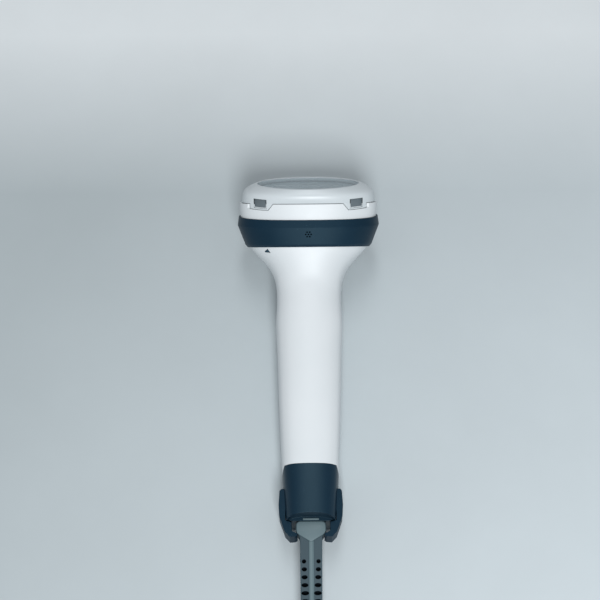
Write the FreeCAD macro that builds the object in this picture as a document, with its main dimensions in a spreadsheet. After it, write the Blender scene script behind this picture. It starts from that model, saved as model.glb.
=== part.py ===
"""Handheld barcode scanner lying on its back, with its lead and USB plug.

X is to the right, Y runs from the foot of the grip to the reading window, Z is up.
The origin is the middle of the flat land under the foot. Sizes are in millimetres.
"""
import FreeCAD
import Part
import Sketcher
import math
import os
from FreeCAD import Vector, Placement, Rotation

doc = FreeCAD.newDocument("barcode_scanner")
sheet = doc.addObject("Spreadsheet::Sheet", "Sizes")

# Every size that can be set by itself: alias, value, meaning.
SIZES = [
    ("foot_end", 7.0, "origin to the end face of the foot"),
    ("grip_length", 134.75, "end of the foot to the root of the head"),
    ("foot_width", 23.0, "grip across its end"),
    ("grip_width", 28.6, "grip across its middle"),
    ("neck_width", 30.6, "grip across its narrowest upper part"),
    ("ridge_width", 32.0, "grip across the two side ridges below the neck"),
    ("foot_depth", 25.4, "grip front to back at its end"),
    ("grip_depth", 27.0, "grip front to back at its middle"),
    ("neck_depth", 28.0, "neck front to back"),
    ("foot_rise", 0.5, "back of the foot above the table"),
    ("neck_rise", 4.6, "back of the neck above the table"),
    ("ridge_before_root", 39.0, "side ridges to the root of the head"),
    ("flare_length", 25.5, "stretch in which the neck widens into the head"),
    ("neck_tilt", 3.0, "lean of the section where the flare starts, degrees"),
    ("head_tilt", 41.0, "reading direction above the grip's own, degrees"),
    ("root_height", 21.3, "middle of the head's root above the table"),
    ("root_width", 58.8, "head across its root"),
    ("root_depth", 45.2, "head front to back at its root"),
    ("root_skew", 14.0, "root section leaned back from the head's own, degrees"),
    ("head_width", 66.0, "housing across the bumper's upper edge"),
    ("head_depth", 43.0, "housing front to back at the bumper's upper edge"),
    ("bumper_length", 15.5, "bumper along the head"),
    ("bumper_crease", 11.2, "root to the crease round the bumper"),
    ("bumper_proud", 1.8, "bumper outside the housing at the crease"),
    ("bumper_lip", 1.0, "bumper outside the housing at its lower edge"),
    ("bumper_top_lip", 0.6, "bumper outside the housing at its upper edge"),
    ("bumper_round", 1.4, "stretch in which the bumper's lower edge is drawn in"),
    ("bumper_edge", 0.2, "bumper outside the housing where it ends"),
    ("bumper_depth", 1.1, "groove in the housing under the bumper"),
    ("bumper_rest", 2.3, "extra thickness at the bumper's back, where it carries the head"),
    ("collar_length", 7.1, "bumper to the seam of the nose cap"),
    ("seam_width", 64.2, "nose cap across its seam"),
    ("collar_step", 0.9, "collar outside the nose cap at its two ends"),
    ("seam_depth", 39.0, "nose cap front to back at its seam"),
    ("cap_gap", 0.25, "nose cap clear of the shells at the seam"),
    ("nose_length", 9.4, "nose cap along the head"),
    ("nose_lift", 2.3, "window's centre towards the front of the head"),
    ("rim_width", 49.8, "rim round the window, across"),
    ("rim_depth", 31.4, "rim round the window, front to back"),
    ("wall", 2.2, "wall of the housing"),
    ("wall_nose", 1.8, "wall of the nose cap"),
    ("tab_layer", 1.2, "thickness of tongues and tabs let into a wall"),
    ("tab_outer", 27.4, "outer edge of a snap tab to the middle"),
    ("tab_inner", 19.0, "inner edge of a snap tab to the middle, at its end"),
    ("tab_slant", 2.8, "how far that edge slants to the seam"),
    ("tab_length", 3.4, "snap tab beyond the seam"),
    ("tab_play", 0.2, "tab clear of its recess"),
    ("tab_hole_centre", 22.6, "hole in a snap tab to the middle"),
    ("tab_hole_width", 6.1, "hole in a snap tab, across"),
    ("tab_hole_length", 4.4, "hole in a snap tab, along the head"),
    ("tab_bar", 0.5, "bar of a snap tab below its hole"),
    ("hook_play", 0.35, "hook clear of the sides of that hole"),
    ("hook_sink", 0.9, "hook below the face of the nose cap"),
    ("hook_thick", 2.8, "thickness of a hook"),
    ("flank_floor", 12.2, "floor beside a snap tab above the head's axis"),
    ("flank_width", 3.0, "that floor, across"),
    ("notch_centre", 19.4, "pry notch below the bumper to the middle"),
    ("notch_width", 3.0, "pry notch, across"),
    ("notch_length", 2.0, "pry notch, along the head"),
    ("notch_before", 0.8, "pry notch to the bumper"),
    ("notch_floor", 17.4, "floor of the pry notch above the head's axis"),
    ("window_width", 48.4, "window across"),
    ("window_depth", 27.9, "window front to back"),
    ("window_glass", 1.4, "thickness of the window"),
    ("window_sink", 0.3, "window below its rim"),
    ("window_ledge", 1.5, "ledge that carries the window"),
    ("gasket_thick", 0.5, "gasket under the window"),
    ("cover_length", 16.6, "foot cover, along the grip"),
    ("cover_tongue", 7.4, "tongue of the foot cover beyond its sides"),
    ("cover_tongue_width", 23.4, "tongue of the foot cover, across"),
    ("spigot_length", 4.6, "spigot of the foot cover inside the shells"),
    ("spigot_wall", 1.4, "wall of that spigot"),
    ("end_wall", 2.4, "end wall of the foot cover"),
    ("arch_width", 20.4, "arched notch over the lead's mouth, across"),
    ("arch_depth", 2.0, "arched notch over the lead's mouth, along"),
    ("land_width", 15.0, "flat land under the foot, across"),
    ("land_length", 13.0, "flat land under the foot, along"),
    ("latch_height", 12.0, "squeeze latch, up and down"),
    ("latch_pivot_x", 10.4, "latch pin to the middle"),
    ("latch_pivot_y", 1.0, "latch pin behind the origin"),
    ("latch_pin_radius", 0.8, "radius of a latch pin"),
    ("latch_pin_bite", 1.2, "latch pin in the foot cover at each end"),
    ("latch_eye", 1.8, "radius of the eye round a latch pin"),
    ("latch_reach", 13.4, "latch pin to the latch's lower tip"),
    ("latch_pad", 8.2, "latch pin to the end of its finger pad"),
    ("latch_proud", 3.8, "outer face of a latch beyond its pin"),
    ("latch_thick", 2.7, "thickness of a latch"),
    ("latch_spring_radius", 1.4, "outer radius of a latch spring"),
    ("moving_gap", 0.4, "clearance round pieces that move"),
    ("pin_play", 0.05, "radial play of a pin in a moving eye"),
    ("plug_height", 13.6, "middle of the lead's plug above the table"),
    ("plug_width", 11.4, "modular plug, across"),
    ("plug_depth", 7.8, "modular plug, up and down"),
    ("plug_length", 16.3, "modular plug, along"),
    ("jack_wall", 1.1, "wall of the jack"),
    ("jack_length", 20.1, "jack, along"),
    ("tee_width", 13.6, "head of the strain relief, across"),
    ("tee_depth", 10.0, "head of the strain relief, up and down"),
    ("tee_straight", 4.4, "square part of that head"),
    ("tee_taper", 2.6, "chamfered part of that head"),
    ("relief_length", 48.2, "stem of the strain relief"),
    ("relief_width", 9.9, "stem across, at its head"),
    ("relief_depth", 8.6, "stem up and down, at its head"),
    ("relief_tip", 9.0, "stem across, at its tip"),
    ("cord_radius", 2.1, "radius of the lead"),
    ("coil_radius", 24.0, "middle of the coil's turns"),
    ("coil_aside", 8.0, "middle of the coil to the middle of the grip"),
    ("coil_rows", 3.0, "turns side by side in the coil"),
    ("coil_layers", 5.0, "turns on top of each other in the coil"),
    ("tie_thick", 0.8, "strap round the coil"),
    ("tie_width", 9.0, "width of that strap"),
    ("tie_slack", 0.8, "strap clear of the coil on its hollow side"),
    ("usb_grip_length", 30.0, "grip of the USB plug"),
    ("usb_grip_width", 15.6, "grip of the USB plug, across"),
    ("usb_grip_depth", 8.2, "grip of the USB plug, thickness"),
    ("usb_shell_length", 14.0, "metal shell of the USB plug"),
    ("usb_shell_width", 12.0, "metal shell, across"),
    ("usb_shell_depth", 4.5, "metal shell, thickness"),
    ("usb_shell_wall", 0.4, "metal shell, sheet"),
    ("usb_tongue_depth", 1.9, "insulating tongue in the shell"),
    ("board_height", 10.0, "underside of the main board above the table"),
    ("board_thick", 1.6, "thickness of the main board"),
    ("board_width", 20.0, "main board, across"),
    ("board_end_gap", 3.2, "end of the main board before the root of the head"),
    ("boss_radius", 2.6, "screw boss"),
    ("screw_radius", 1.0, "shank of a housing screw"),
    ("screw_head", 2.1, "radius of a housing screw's head"),
    ("screw_head_thick", 1.4, "height of a housing screw's head"),
    ("screw_length", 9.0, "shank of a housing screw"),
    ("screw_grip", 3.0, "boss between screw head and joint"),
    ("post_radius", 1.9, "board post"),
    ("small_screw_radius", 0.7, "shank of a small screw"),
    ("small_screw_head", 1.5, "radius of a small screw's head"),
    ("small_screw_head_thick", 0.9, "height of a small screw's head"),
    ("small_screw_length", 4.5, "shank of a small screw"),
    ("key_length", 23.6, "thumb key, along the grip"),
    ("key_width", 14.0, "thumb key, across"),
    ("key_end_before_root", 10.6, "end of the thumb key to the root of the head"),
    ("key_rise", 2.0, "outer face of the thumb key above the table"),
    ("key_thick", 3.9, "thickness of the thumb key"),
    ("key_edge", 1.3, "rounding round the thumb key's face"),
    ("key_pivot_back", 2.5, "key's pin before the key's end"),
    ("key_pivot_rise", 8.0, "key's pin above the table"),
    ("key_pin_radius", 0.8, "radius of the key's pin"),
    ("key_eye", 1.6, "wall round that pin, from its centre"),
    ("key_ear", 2.0, "width of a key ear"),
    ("key_ear_centre", 5.2, "key ears to the middle"),
    ("bracket_thick", 1.8, "bracket that holds the key's pin"),
    ("dome_height", 1.2, "rubber dome of the switch"),
    ("dome_radius", 1.7, "radius of that dome"),
    ("switch_size", 6.0, "switch, square"),
    ("pipe_width", 10.0, "light pipe, across"),
    ("pipe_length", 2.6, "light pipe, along the grip"),
    ("pipe_before_root", 6.4, "light pipe to the root of the head"),
    ("led_height", 0.8, "height of a light on a board"),
    ("engine_width", 17.0, "imaging engine, across"),
    ("engine_length", 15.0, "imaging engine, along the head"),
    ("engine_depth", 12.0, "imaging engine, front to back"),
    ("engine_gap", 3.6, "window to the front of the engine"),
    ("engine_lift", 0.3, "engine's axis towards the front of the head"),
    ("barrel_radius", 4.0, "lens barrel"),
    ("barrel_length", 7.5, "lens barrel, length"),
    ("lens_radius", 3.0, "objective lens"),
    ("lens_thick", 2.2, "objective lens, thickness"),
    ("sensor_board_thick", 1.0, "sensor board"),
    ("plate_thick", 1.6, "plate and arms of the engine cradle"),
    ("cradle_width", 32.0, "engine cradle, across"),
    ("cradle_screw", 13.0, "cradle screws to the middle"),
    ("light_board_width", 36.0, "illumination board, across"),
    ("light_board_depth", 7.0, "illumination board, front to back"),
    ("light_board_thick", 1.2, "illumination board"),
    ("diffuser_thick", 1.8, "lens strip over the lights"),
    ("buzzer_radius", 6.0, "buzzer"),
    ("buzzer_thick", 4.5, "height of the buzzer"),
    ("buzzer_along", 11.8, "root of the head to the buzzer's axis"),
    ("buzzer_skin", 3.6, "front of the housing to the buzzer's face"),
    ("port_ring", 1.25, "radius of the ring of sound holes"),
    ("port_hole", 0.36, "radius of a sound hole"),
]
for row, (alias, value, meaning) in enumerate(SIZES, start=1):
    sheet.set("A%d" % row, alias)
    sheet.set("B%d" % row, str(value))
    sheet.set("C%d" % row, meaning)
    sheet.setAlias("B%d" % row, alias)
doc.recompute()


def size(alias):
    """A number from the sheet."""
    return float(sheet.get(alias))


def expression(text):
    """An expression in which words that are aliases read the sheet."""
    words = sorted({alias for alias, value, meaning in SIZES}, key=len, reverse=True)
    out = ""
    at = 0
    while at < len(text):
        letter = text[at]
        if letter.isalpha():
            end = at
            while end < len(text) and (text[end].isalnum() or text[end] == "_"):
                end += 1
            word = text[at:end]
            out += "Sizes." + word if word in words else word
            at = end
        else:
            out += letter
            at += 1
    return out


def bind(obj, prop, text):
    """Ties a property to the sheet."""
    obj.setExpression(prop, expression(text))


def at(obj, x="0", y="0", z="0"):
    """Places an object by three expressions."""
    bind(obj, "Placement.Base.x", x)
    bind(obj, "Placement.Base.y", y)
    bind(obj, "Placement.Base.z", z)
    return obj


def box(name, across, along, up, x, y, z):
    """A box by its sizes and its middle in X, its lower corner in Y and Z."""
    obj = doc.addObject("Part::Box", name)
    bind(obj, "Length", across)
    bind(obj, "Width", along)
    bind(obj, "Height", up)
    return at(obj, "(%s) - (%s) / 2" % (x, across), y, z)


def cylinder(name, radius, height, x, y, z, axis=None):
    """A cylinder from its start point along an axis."""
    obj = doc.addObject("Part::Cylinder", name)
    bind(obj, "Radius", radius)
    bind(obj, "Height", height)
    if axis is not None:
        obj.Placement = Placement(Vector(0, 0, 0), Rotation(Vector(0, 0, 1), Vector(*axis)))
    return at(obj, x, y, z)


def joined(name, shapes):
    """One solid from several."""
    obj = doc.addObject("Part::MultiFuse", name)
    obj.Shapes = shapes
    return obj


def grouped(name, shapes):
    """Several separate solids in one sub-part."""
    obj = doc.addObject("Part::Compound", name)
    obj.Links = shapes
    return obj


def less(name, base, tool):
    """A solid with another taken away."""
    obj = doc.addObject("Part::Cut", name)
    obj.Base = base
    obj.Tool = tool
    return obj


NODES = []


def node(label, obj):
    """Names an object as a sub-part."""
    obj.Label = label
    NODES.append(obj)
    return obj


def freeform(label, shape):
    """A sub-part whose shape is set from Part's own functions."""
    obj = doc.addObject("Part::Feature", label)
    obj.Shape = shape
    return node(label, obj)


# ---------------------------------------------------------------- the head's own frame
# Local X is across, local Y runs along the reading direction, local Z towards the front.
ROOT_Y = size("grip_length") - size("foot_end")
HEAD = Placement(Vector(0, ROOT_Y, size("root_height")), Rotation(Vector(1, 0, 0), size("head_tilt")))
SEAM_AT = size("bumper_length") + size("collar_length")
BAND_SKEW = 7.0
SEAM_SKEW = 9.0
ROOT_POWER = 2.6
SEAM_FRONT = SEAM_AT + math.sin(math.radians(SEAM_SKEW)) * size("seam_depth") / 2
RIM_AT = SEAM_AT + size("nose_length")


def in_head(piece):
    """Carries a piece built in the head's own frame to its place."""
    obj = grouped(piece.Name + "_in_head", [piece])
    bind(obj, "Placement.Base.y", "grip_length - foot_end")
    bind(obj, "Placement.Base.z", "root_height")
    obj.Placement.Rotation = Rotation(Vector(1, 0, 0), 1)
    bind(obj, "Placement.Rotation.Angle", "head_tilt")
    return obj


# ---------------------------------------------------------------- sections of the housing
AROUND = 16
FIRST = 3


def section(centre_y, centre_z, tilt, depth, width, power, shrink=0.0):
    """A closed rounded outline: a superellipse in a plane that leans by tilt."""
    half_width = width / 2 - shrink
    half_depth = depth / 2 - shrink
    up = Vector(0, -math.sin(math.radians(tilt)), math.cos(math.radians(tilt)))
    points = []
    for step in range(AROUND):
        angle = 2 * math.pi * (step + FIRST) / AROUND
        across = math.sin(angle)
        rise = math.cos(angle)
        x = half_width * math.copysign(abs(across) ** (2 / power), across)
        lift = half_depth * math.copysign(abs(rise) ** (2 / power), rise)
        points.append(Vector(x, centre_y, centre_z) + up * lift)
    curve = Part.BSplineCurve()
    curve.interpolate(Points=points, PeriodicFlag=True,
                      Parameters=[step / AROUND for step in range(AROUND + 1)])
    return curve


def outline_wire(row):
    """The outline as a wire."""
    return Part.Wire(section(*row).toShape())


def head_station(along, lift, skew, depth, width, power):
    """Centre and lean of a section given in the head's own frame."""
    centre = HEAD.multVec(Vector(0, along, lift))
    return (centre.y, centre.z, size("head_tilt") - skew, depth, width, power)


def grip_station(y, rise, depth, width, power):
    """An upright section of the grip, by the height of its back."""
    return (y, rise + depth / 2, 0.0, depth, width, power)


def between(low, high, share):
    return low + (high - low) * share


FLARE_Y = ROOT_Y - size("flare_length")
RIDGE_Y = ROOT_Y - size("ridge_before_root")
MIDDLE_Y = between(-size("foot_end"), RIDGE_Y, 0.55)


def grip_stations():
    """The grip from its end to where the flare starts."""
    foot = -size("foot_end")
    rows = [grip_station(foot, size("foot_rise"), size("foot_depth"), size("foot_width"), 3.2)]
    for share in (0.35, 0.7):
        rows.append(grip_station(between(foot, MIDDLE_Y, share),
                                 between(size("foot_rise"), size("neck_rise"), share * 0.35),
                                 between(size("foot_depth"), size("grip_depth"), share),
                                 between(size("foot_width"), size("grip_width"), share ** 0.8), 3.0))
    rows.append(grip_station(MIDDLE_Y, between(size("foot_rise"), size("neck_rise"), 0.45),
                             size("grip_depth"), size("grip_width"), 2.8))
    rows.append(grip_station(RIDGE_Y - 12.0, between(size("foot_rise"), size("neck_rise"), 0.8),
                             between(size("grip_depth"), size("neck_depth"), 0.6),
                             size("neck_width"), 2.7))
    rows.append(grip_station(RIDGE_Y, between(size("foot_rise"), size("neck_rise"), 0.92),
                             between(size("grip_depth"), size("neck_depth"), 0.85),
                             size("ridge_width"), 2.7))
    rows.append(grip_station(RIDGE_Y + 8.0, size("neck_rise"), size("neck_depth"),
                             size("neck_width"), 2.6))
    return rows


def flare_stations():
    """Neck to root: width grows late, depth earlier, height first."""
    neck_z = size("neck_rise") + size("neck_depth") / 2
    rows = []
    for share, widening in ((0.0, 0.0), (0.23, 0.02), (0.45, 0.10), (0.64, 0.33), (0.8, 0.68), (0.91, 0.88)):
        rows.append((between(FLARE_Y, ROOT_Y, share),
                     between(neck_z, size("root_height"), 1 - (1 - share) ** 2),
                     between(size("neck_tilt"), size("head_tilt") - size("root_skew"), share),
                     between(size("neck_depth"), size("root_depth"), share ** 1.5),
                     between(size("neck_width"), size("root_width"), widening), 2.6))
    return rows


def head_stations(step):
    """Root to the seam of the nose cap, where the collar stands out by step at its two ends."""
    crease = size("bumper_crease")
    share = crease / size("bumper_length")
    return [
        head_station(0, 0, size("root_skew"), size("root_depth"), size("root_width"), ROOT_POWER),
        head_station(crease, -0.4, between(size("root_skew"), BAND_SKEW, share),
                     between(size("root_depth"), size("head_depth"), 0.5),
                     between(size("root_width"), size("head_width"), 0.86), 2.55),
        head_station(size("bumper_length"), -0.5, BAND_SKEW, size("head_depth"), size("head_width"), 2.5),
        head_station(SEAM_AT, 0.4, SEAM_SKEW, size("seam_depth"), size("seam_width") + 2 * step, 2.45),
    ]


def nose_stations(back=0.0):
    """Seam to the rim round the window."""
    length = size("nose_length")
    lift = size("nose_lift")
    return [
        head_station(SEAM_AT - back, 0.4, SEAM_SKEW, size("seam_depth"), size("seam_width"), 2.45),
        head_station(SEAM_AT + length * 0.61, between(0.4, lift, 0.45), 1.5,
                     between(size("seam_depth"), size("rim_depth"), 0.2),
                     between(size("seam_width"), size("rim_width"), 0.14), 2.4),
        head_station(SEAM_AT + length * 0.89, between(0.4, lift, 0.85), 0.3,
                     between(size("seam_depth"), size("rim_depth"), 0.62),
                     between(size("seam_width"), size("rim_width"), 0.58), 2.25),
        head_station(RIM_AT, lift, 0, size("rim_depth"), size("rim_width"), 2.0),
    ]


def body(rows, shrink=0.0):
    """A smooth solid that follows a row of sections, each drawn in by shrink."""
    curves = [section(*row, shrink=shrink) for row in rows]
    count = len(rows)
    knots = [float(knot) for knot in range(count - 2)]
    sides = Part.BSplineSurface()
    sides.buildFromPolesMultsKnots(
        [list(line) for line in zip(*[curve.getPoles() for curve in curves])],
        curves[0].getMultiplicities(), [4] + [1] * (count - 4) + [4],
        curves[0].getKnots(), knots, True, False, 3, 3)
    side = sides.toShape()
    rings = [edge for edge in side.Edges if edge.isClosed()]
    ends = [Part.Face(Part.Wire(edge)) for edge in rings]
    shell = Part.Shell([side] + ends)
    shell.sewShape()
    solid = Part.Solid(shell)
    if solid.Volume < 0:
        solid.reverse()
    return solid


def slopes(places, values):
    """Slopes that let a curve pass its values without overshooting them."""
    steps = [b - a for a, b in zip(places, places[1:])]
    rates = [(b - a) / step for a, b, step in zip(values, values[1:], steps)]
    found = [rates[0]]
    for before, after in zip(rates, rates[1:]):
        found.append(0.0 if before * after <= 0 else 2 * before * after / (before + after))
    return found + [rates[-1]]


def evened(rows, spacing):
    """The same body through sections that lie evenly along it."""
    places = [0.0]
    for before, after in zip(rows, rows[1:]):
        places.append(places[-1] + math.hypot(after[0] - before[0], after[1] - before[1]))
    count = max(2, round(places[-1] / spacing))
    columns = [list(column) for column in zip(*rows)]
    tilts = [slopes(places, column) for column in columns]
    out = []
    for step in range(count + 1):
        place = places[-1] * step / count
        span = max(index for index in range(len(places) - 1) if places[index] <= place + 1e-9)
        width = places[span + 1] - places[span]
        share = (place - places[span]) / width
        row = []
        for column, tilt in zip(columns, tilts):
            square = share * share
            cube = square * share
            row.append((2 * cube - 3 * square + 1) * column[span]
                       + (cube - 2 * square + share) * width * tilt[span]
                       + (3 * square - 2 * cube) * column[span + 1]
                       + (cube - square) * width * tilt[span + 1])
        out.append(tuple(row))
    return out


FAR = 150.0
SECTION_SPACING = 8.0
COLLAR = size("collar_step")
stations = evened(grip_stations() + flare_stations() + head_stations(COLLAR), SECTION_SPACING)
flush_stations = evened(grip_stations() + flare_stations() + head_stations(0.0), SECTION_SPACING)
outer = body(stations)
inner = body(stations, size("wall"))


def slab_y(low, high):
    """All of space between two heights of Y."""
    return Part.makeBox(2 * FAR, high - low, 2 * FAR, Vector(-FAR, low, -FAR))


# Tabs and tongues lie flush with the nose cap, in the outermost layer of the wall.
tab_core = body(flush_stations, size("tab_layer"))
tab_skin = body(flush_stations).cut(tab_core)


def front_region():
    """All of space in front of the joint between the shells."""
    points = [Vector(-FAR, row[0], row[1]) for row in stations]
    first = Vector(-FAR, -FAR, points[0].z)
    last = HEAD.multVec(Vector(-FAR, RIM_AT + 30, 0.4))
    curve = Part.BSplineCurve()
    curve.interpolate(points)
    corners = [last, Vector(-FAR, last.y, FAR), Vector(-FAR, -FAR, FAR), first]
    edges = [curve.toShape(), Part.makeLine(points[-1], last)]
    edges += [Part.makeLine(a, b) for a, b in zip(corners, corners[1:])]
    edges.append(Part.makeLine(first, points[0]))
    face = Part.Face(Part.Wire(edges))
    return face.extrude(Vector(2 * FAR, 0, 0))


front_space = front_region()


def head_prism(points, low, high):
    """A prism along the head's local Z over an outline in its local X and Y."""
    wire = Part.makePolygon([Vector(x, y, low) for x, y in points + points[:1]])
    solid = Part.Face(wire).extrude(Vector(0, 0, high - low))
    solid.Placement = HEAD
    return solid


def head_cylinder(radius, start, direction, length):
    """A cylinder in the head's own frame."""
    solid = Part.makeCylinder(radius, length, start, direction)
    solid.Placement = HEAD.multiply(solid.Placement)
    return solid


# ---------------------------------------------------------------- bumper round the head
def bumper_shape():
    root, crease, top = head_stations(COLLAR)[:3]
    share = size("bumper_round") / size("bumper_crease")
    above_edge = tuple(between(low, high, share) for low, high in zip(root, crease))
    edges = (size("bumper_edge"), size("bumper_lip"), size("bumper_proud"), size("bumper_top_lip"))
    rests = (0, size("bumper_rest"), size("bumper_rest"), 0)
    grown = []
    for row, out, rest in zip((root, above_edge, crease, top), edges, rests):
        y, z, tilt, depth, width, power = row
        turn = math.radians(tilt)
        grown.append((y + rest / 2 * math.sin(turn), z - rest / 2 * math.cos(turn), tilt,
                      depth + 2 * out + rest, width + 2 * out, power))
    table = Part.makeBox(2 * FAR, 2 * FAR, FAR, Vector(-FAR, 0, -FAR))
    outside = Part.makeLoft([outline_wire(row) for row in grown], True, True).cut(table)
    holes = [head_cylinder(size("port_hole"), Vector(0, size("buzzer_along"), 0), Vector(0, 0, 1), FAR)]
    for step in range(6):
        turn = math.radians(60 * step)
        start = Vector(size("port_ring") * math.cos(turn),
                       size("buzzer_along") + size("port_ring") * math.sin(turn), 0)
        holes.append(head_cylinder(size("port_hole"), start, Vector(0, 0, 1), FAR))
    ring = outside.cut(body(stations, size("bumper_depth")))
    return ring, ring.cut(holes)


bumper_solid, bumper_pierced = bumper_shape()
freeform("head_bumper", bumper_pierced)


# ---------------------------------------------------------------- snap tabs of the nose cap
def tab_outline(side, grow=0.0):
    """A tab with a straight outer edge and a slanting inner one."""
    outside = side * (size("tab_outer") + grow)
    inside = side * (size("tab_inner") - grow)
    root = side * (size("tab_inner") - size("tab_slant") - grow)
    tip = SEAM_FRONT - size("tab_length") - grow
    top = SEAM_FRONT + 3.0
    return [(root, top), (root, SEAM_FRONT), (inside, tip), (outside, tip), (outside, top)]


def tab_window(side, shrink=0.0):
    """The square hole in a tab."""
    half = size("tab_hole_width") / 2 - shrink
    centre = side * size("tab_hole_centre")
    low = SEAM_FRONT - size("tab_length") + size("tab_bar") + shrink
    high = low + size("tab_hole_length") - 2 * shrink
    return [(centre - half, low), (centre + half, low), (centre + half, high), (centre - half, high)]


def nose_cap_shape():
    outside = body(evened(nose_stations(), 2.0))
    hollow = body(evened(nose_stations(2.0)[:3], 2.0), size("wall_nose"))
    cap = outside.cut(hollow)
    tabs = [tab_skin.common(head_prism(tab_outline(side), 0, FAR)) for side in (-1, 1)]
    ledge = size("window_ledge")
    glass_back = RIM_AT - size("window_sink") - size("window_glass")
    seat = glass_back - size("gasket_thick")
    opening = window_prism(seat - FAR / 4, FAR / 2, ledge)
    recess = window_prism(seat, FAR / 4, 0.0)
    cap = cap.fuse(tabs).cut([opening, recess])
    return cap.cut([head_prism(tab_window(side), 0, FAR) for side in (-1, 1)])


def window_prism(start, length, shrink):
    """An elliptical prism on the window's axis, in place."""
    major = size("window_width") / 2 - shrink
    minor = size("window_depth") / 2 - shrink
    ellipse = Part.Ellipse(Vector(0, 0, 0), major, minor)
    solid = Part.Face(Part.Wire(ellipse.toShape())).extrude(Vector(0, 0, length))
    turned = Placement(Vector(0, start, size("nose_lift")), Rotation(Vector(1, 0, 0), -90))
    solid.Placement = HEAD.multiply(turned)
    return solid


nose_cap = nose_cap_shape()
freeform("nose_cap", nose_cap)


def elliptical_plate(name, shrink, thick, start):
    """A flat elliptical plate across the head's axis, in the head's own frame."""
    ellipse = doc.addObject("Part::Ellipse", name + "_outline")
    bind(ellipse, "MajorRadius", "window_width / 2 - (%s)" % shrink)
    bind(ellipse, "MinorRadius", "window_depth / 2 - (%s)" % shrink)
    plate = doc.addObject("Part::Extrusion", name)
    plate.Base = ellipse
    plate.DirMode = "Custom"
    plate.Dir = Vector(0, 1, 0)
    plate.Solid = True
    bind(plate, "LengthFwd", thick)
    ellipse.Placement = Placement(Vector(0, 0, 0), Rotation(Vector(1, 0, 0), -90))
    at(ellipse, "0", start, "nose_lift")
    return plate


rim = "bumper_length + collar_length + nose_length"
glass_start = rim + " - window_sink - window_glass"
gasket_start = glass_start + " - gasket_thick"
window = in_head(elliptical_plate("window_plate", "0.05", "window_glass", glass_start))
node("window", window)
gasket = less("gasket",
              elliptical_plate("gasket_outside", "0.05", "gasket_thick", gasket_start),
              elliptical_plate("gasket_inside", "window_ledge + 0.1", "gasket_thick", gasket_start))
node("window_gasket", in_head(gasket))

# ---------------------------------------------------------------- foot cover
COVER_Y = size("cover_length") - size("foot_end")
PLUG_Z = size("plug_height")
LATCH_LOW = PLUG_Z - size("latch_height") / 2
LATCH_HIGH = PLUG_Z + size("latch_height") / 2


def cover_tongue():
    """Chamfered tongue let into the front of the grip."""
    half = size("cover_tongue_width") / 2
    tip = COVER_Y + size("cover_tongue")
    chamfer = 1.6
    points = [(-half - chamfer, COVER_Y - 3), (half + chamfer, COVER_Y - 3), (half + chamfer, tip - 4),
              (half, tip), (-half, tip), (-half - chamfer, tip - 4)]
    wire = Part.makePolygon([Vector(x, y, PLUG_Z) for x, y in points + points[:1]])
    prism = Part.Face(wire).extrude(Vector(0, 0, FAR))
    return tab_skin.common(prism)


def latch_pocket(side):
    """Room for one latch in the side of the foot."""
    gap = size("moving_gap")
    inside = size("latch_pivot_x") + size("latch_proud") - size("latch_thick") - 1.3
    low_y = -size("foot_end") - 1
    high_y = size("latch_pad") - size("latch_pivot_y") + gap
    start = inside if side > 0 else -inside - FAR
    pocket = Part.makeBox(FAR, high_y - low_y, size("latch_height") + 2 * gap,
                          Vector(start, low_y, LATCH_LOW - gap))
    eye = Part.makeCylinder(size("latch_eye") + gap, size("latch_height") + 2 * gap,
                            Vector(side * size("latch_pivot_x"), -size("latch_pivot_y"), LATCH_LOW - gap))
    return pocket.fuse(eye)


FOOT_SCREW_Z = size("foot_rise") + 1.4


def foot_screw_line(radius, low, high):
    """A stretch of the line of the screw that holds the foot cover."""
    return Part.makeCylinder(radius, high - low, Vector(0, COVER_Y + size("spigot_length") / 2, low))


def latch_axle(side, radius, low, high):
    """A stretch of the line of a latch pin."""
    base = Vector(side * size("latch_pivot_x"), -size("latch_pivot_y"), low)
    return Part.makeCylinder(radius, high - low, base)


SPRING_X = size("latch_pivot_x") + size("latch_proud") - size("latch_thick") - 0.2
SPRING_Y = size("latch_pad") - size("latch_pivot_y") - 2.6
SPRING_LENGTH = 3.4


def spring_bore(side):
    start = Vector(side * SPRING_X, SPRING_Y, PLUG_Z)
    return Part.makeCylinder(size("latch_spring_radius"), SPRING_LENGTH, start, Vector(-side, 0, 0))


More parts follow.
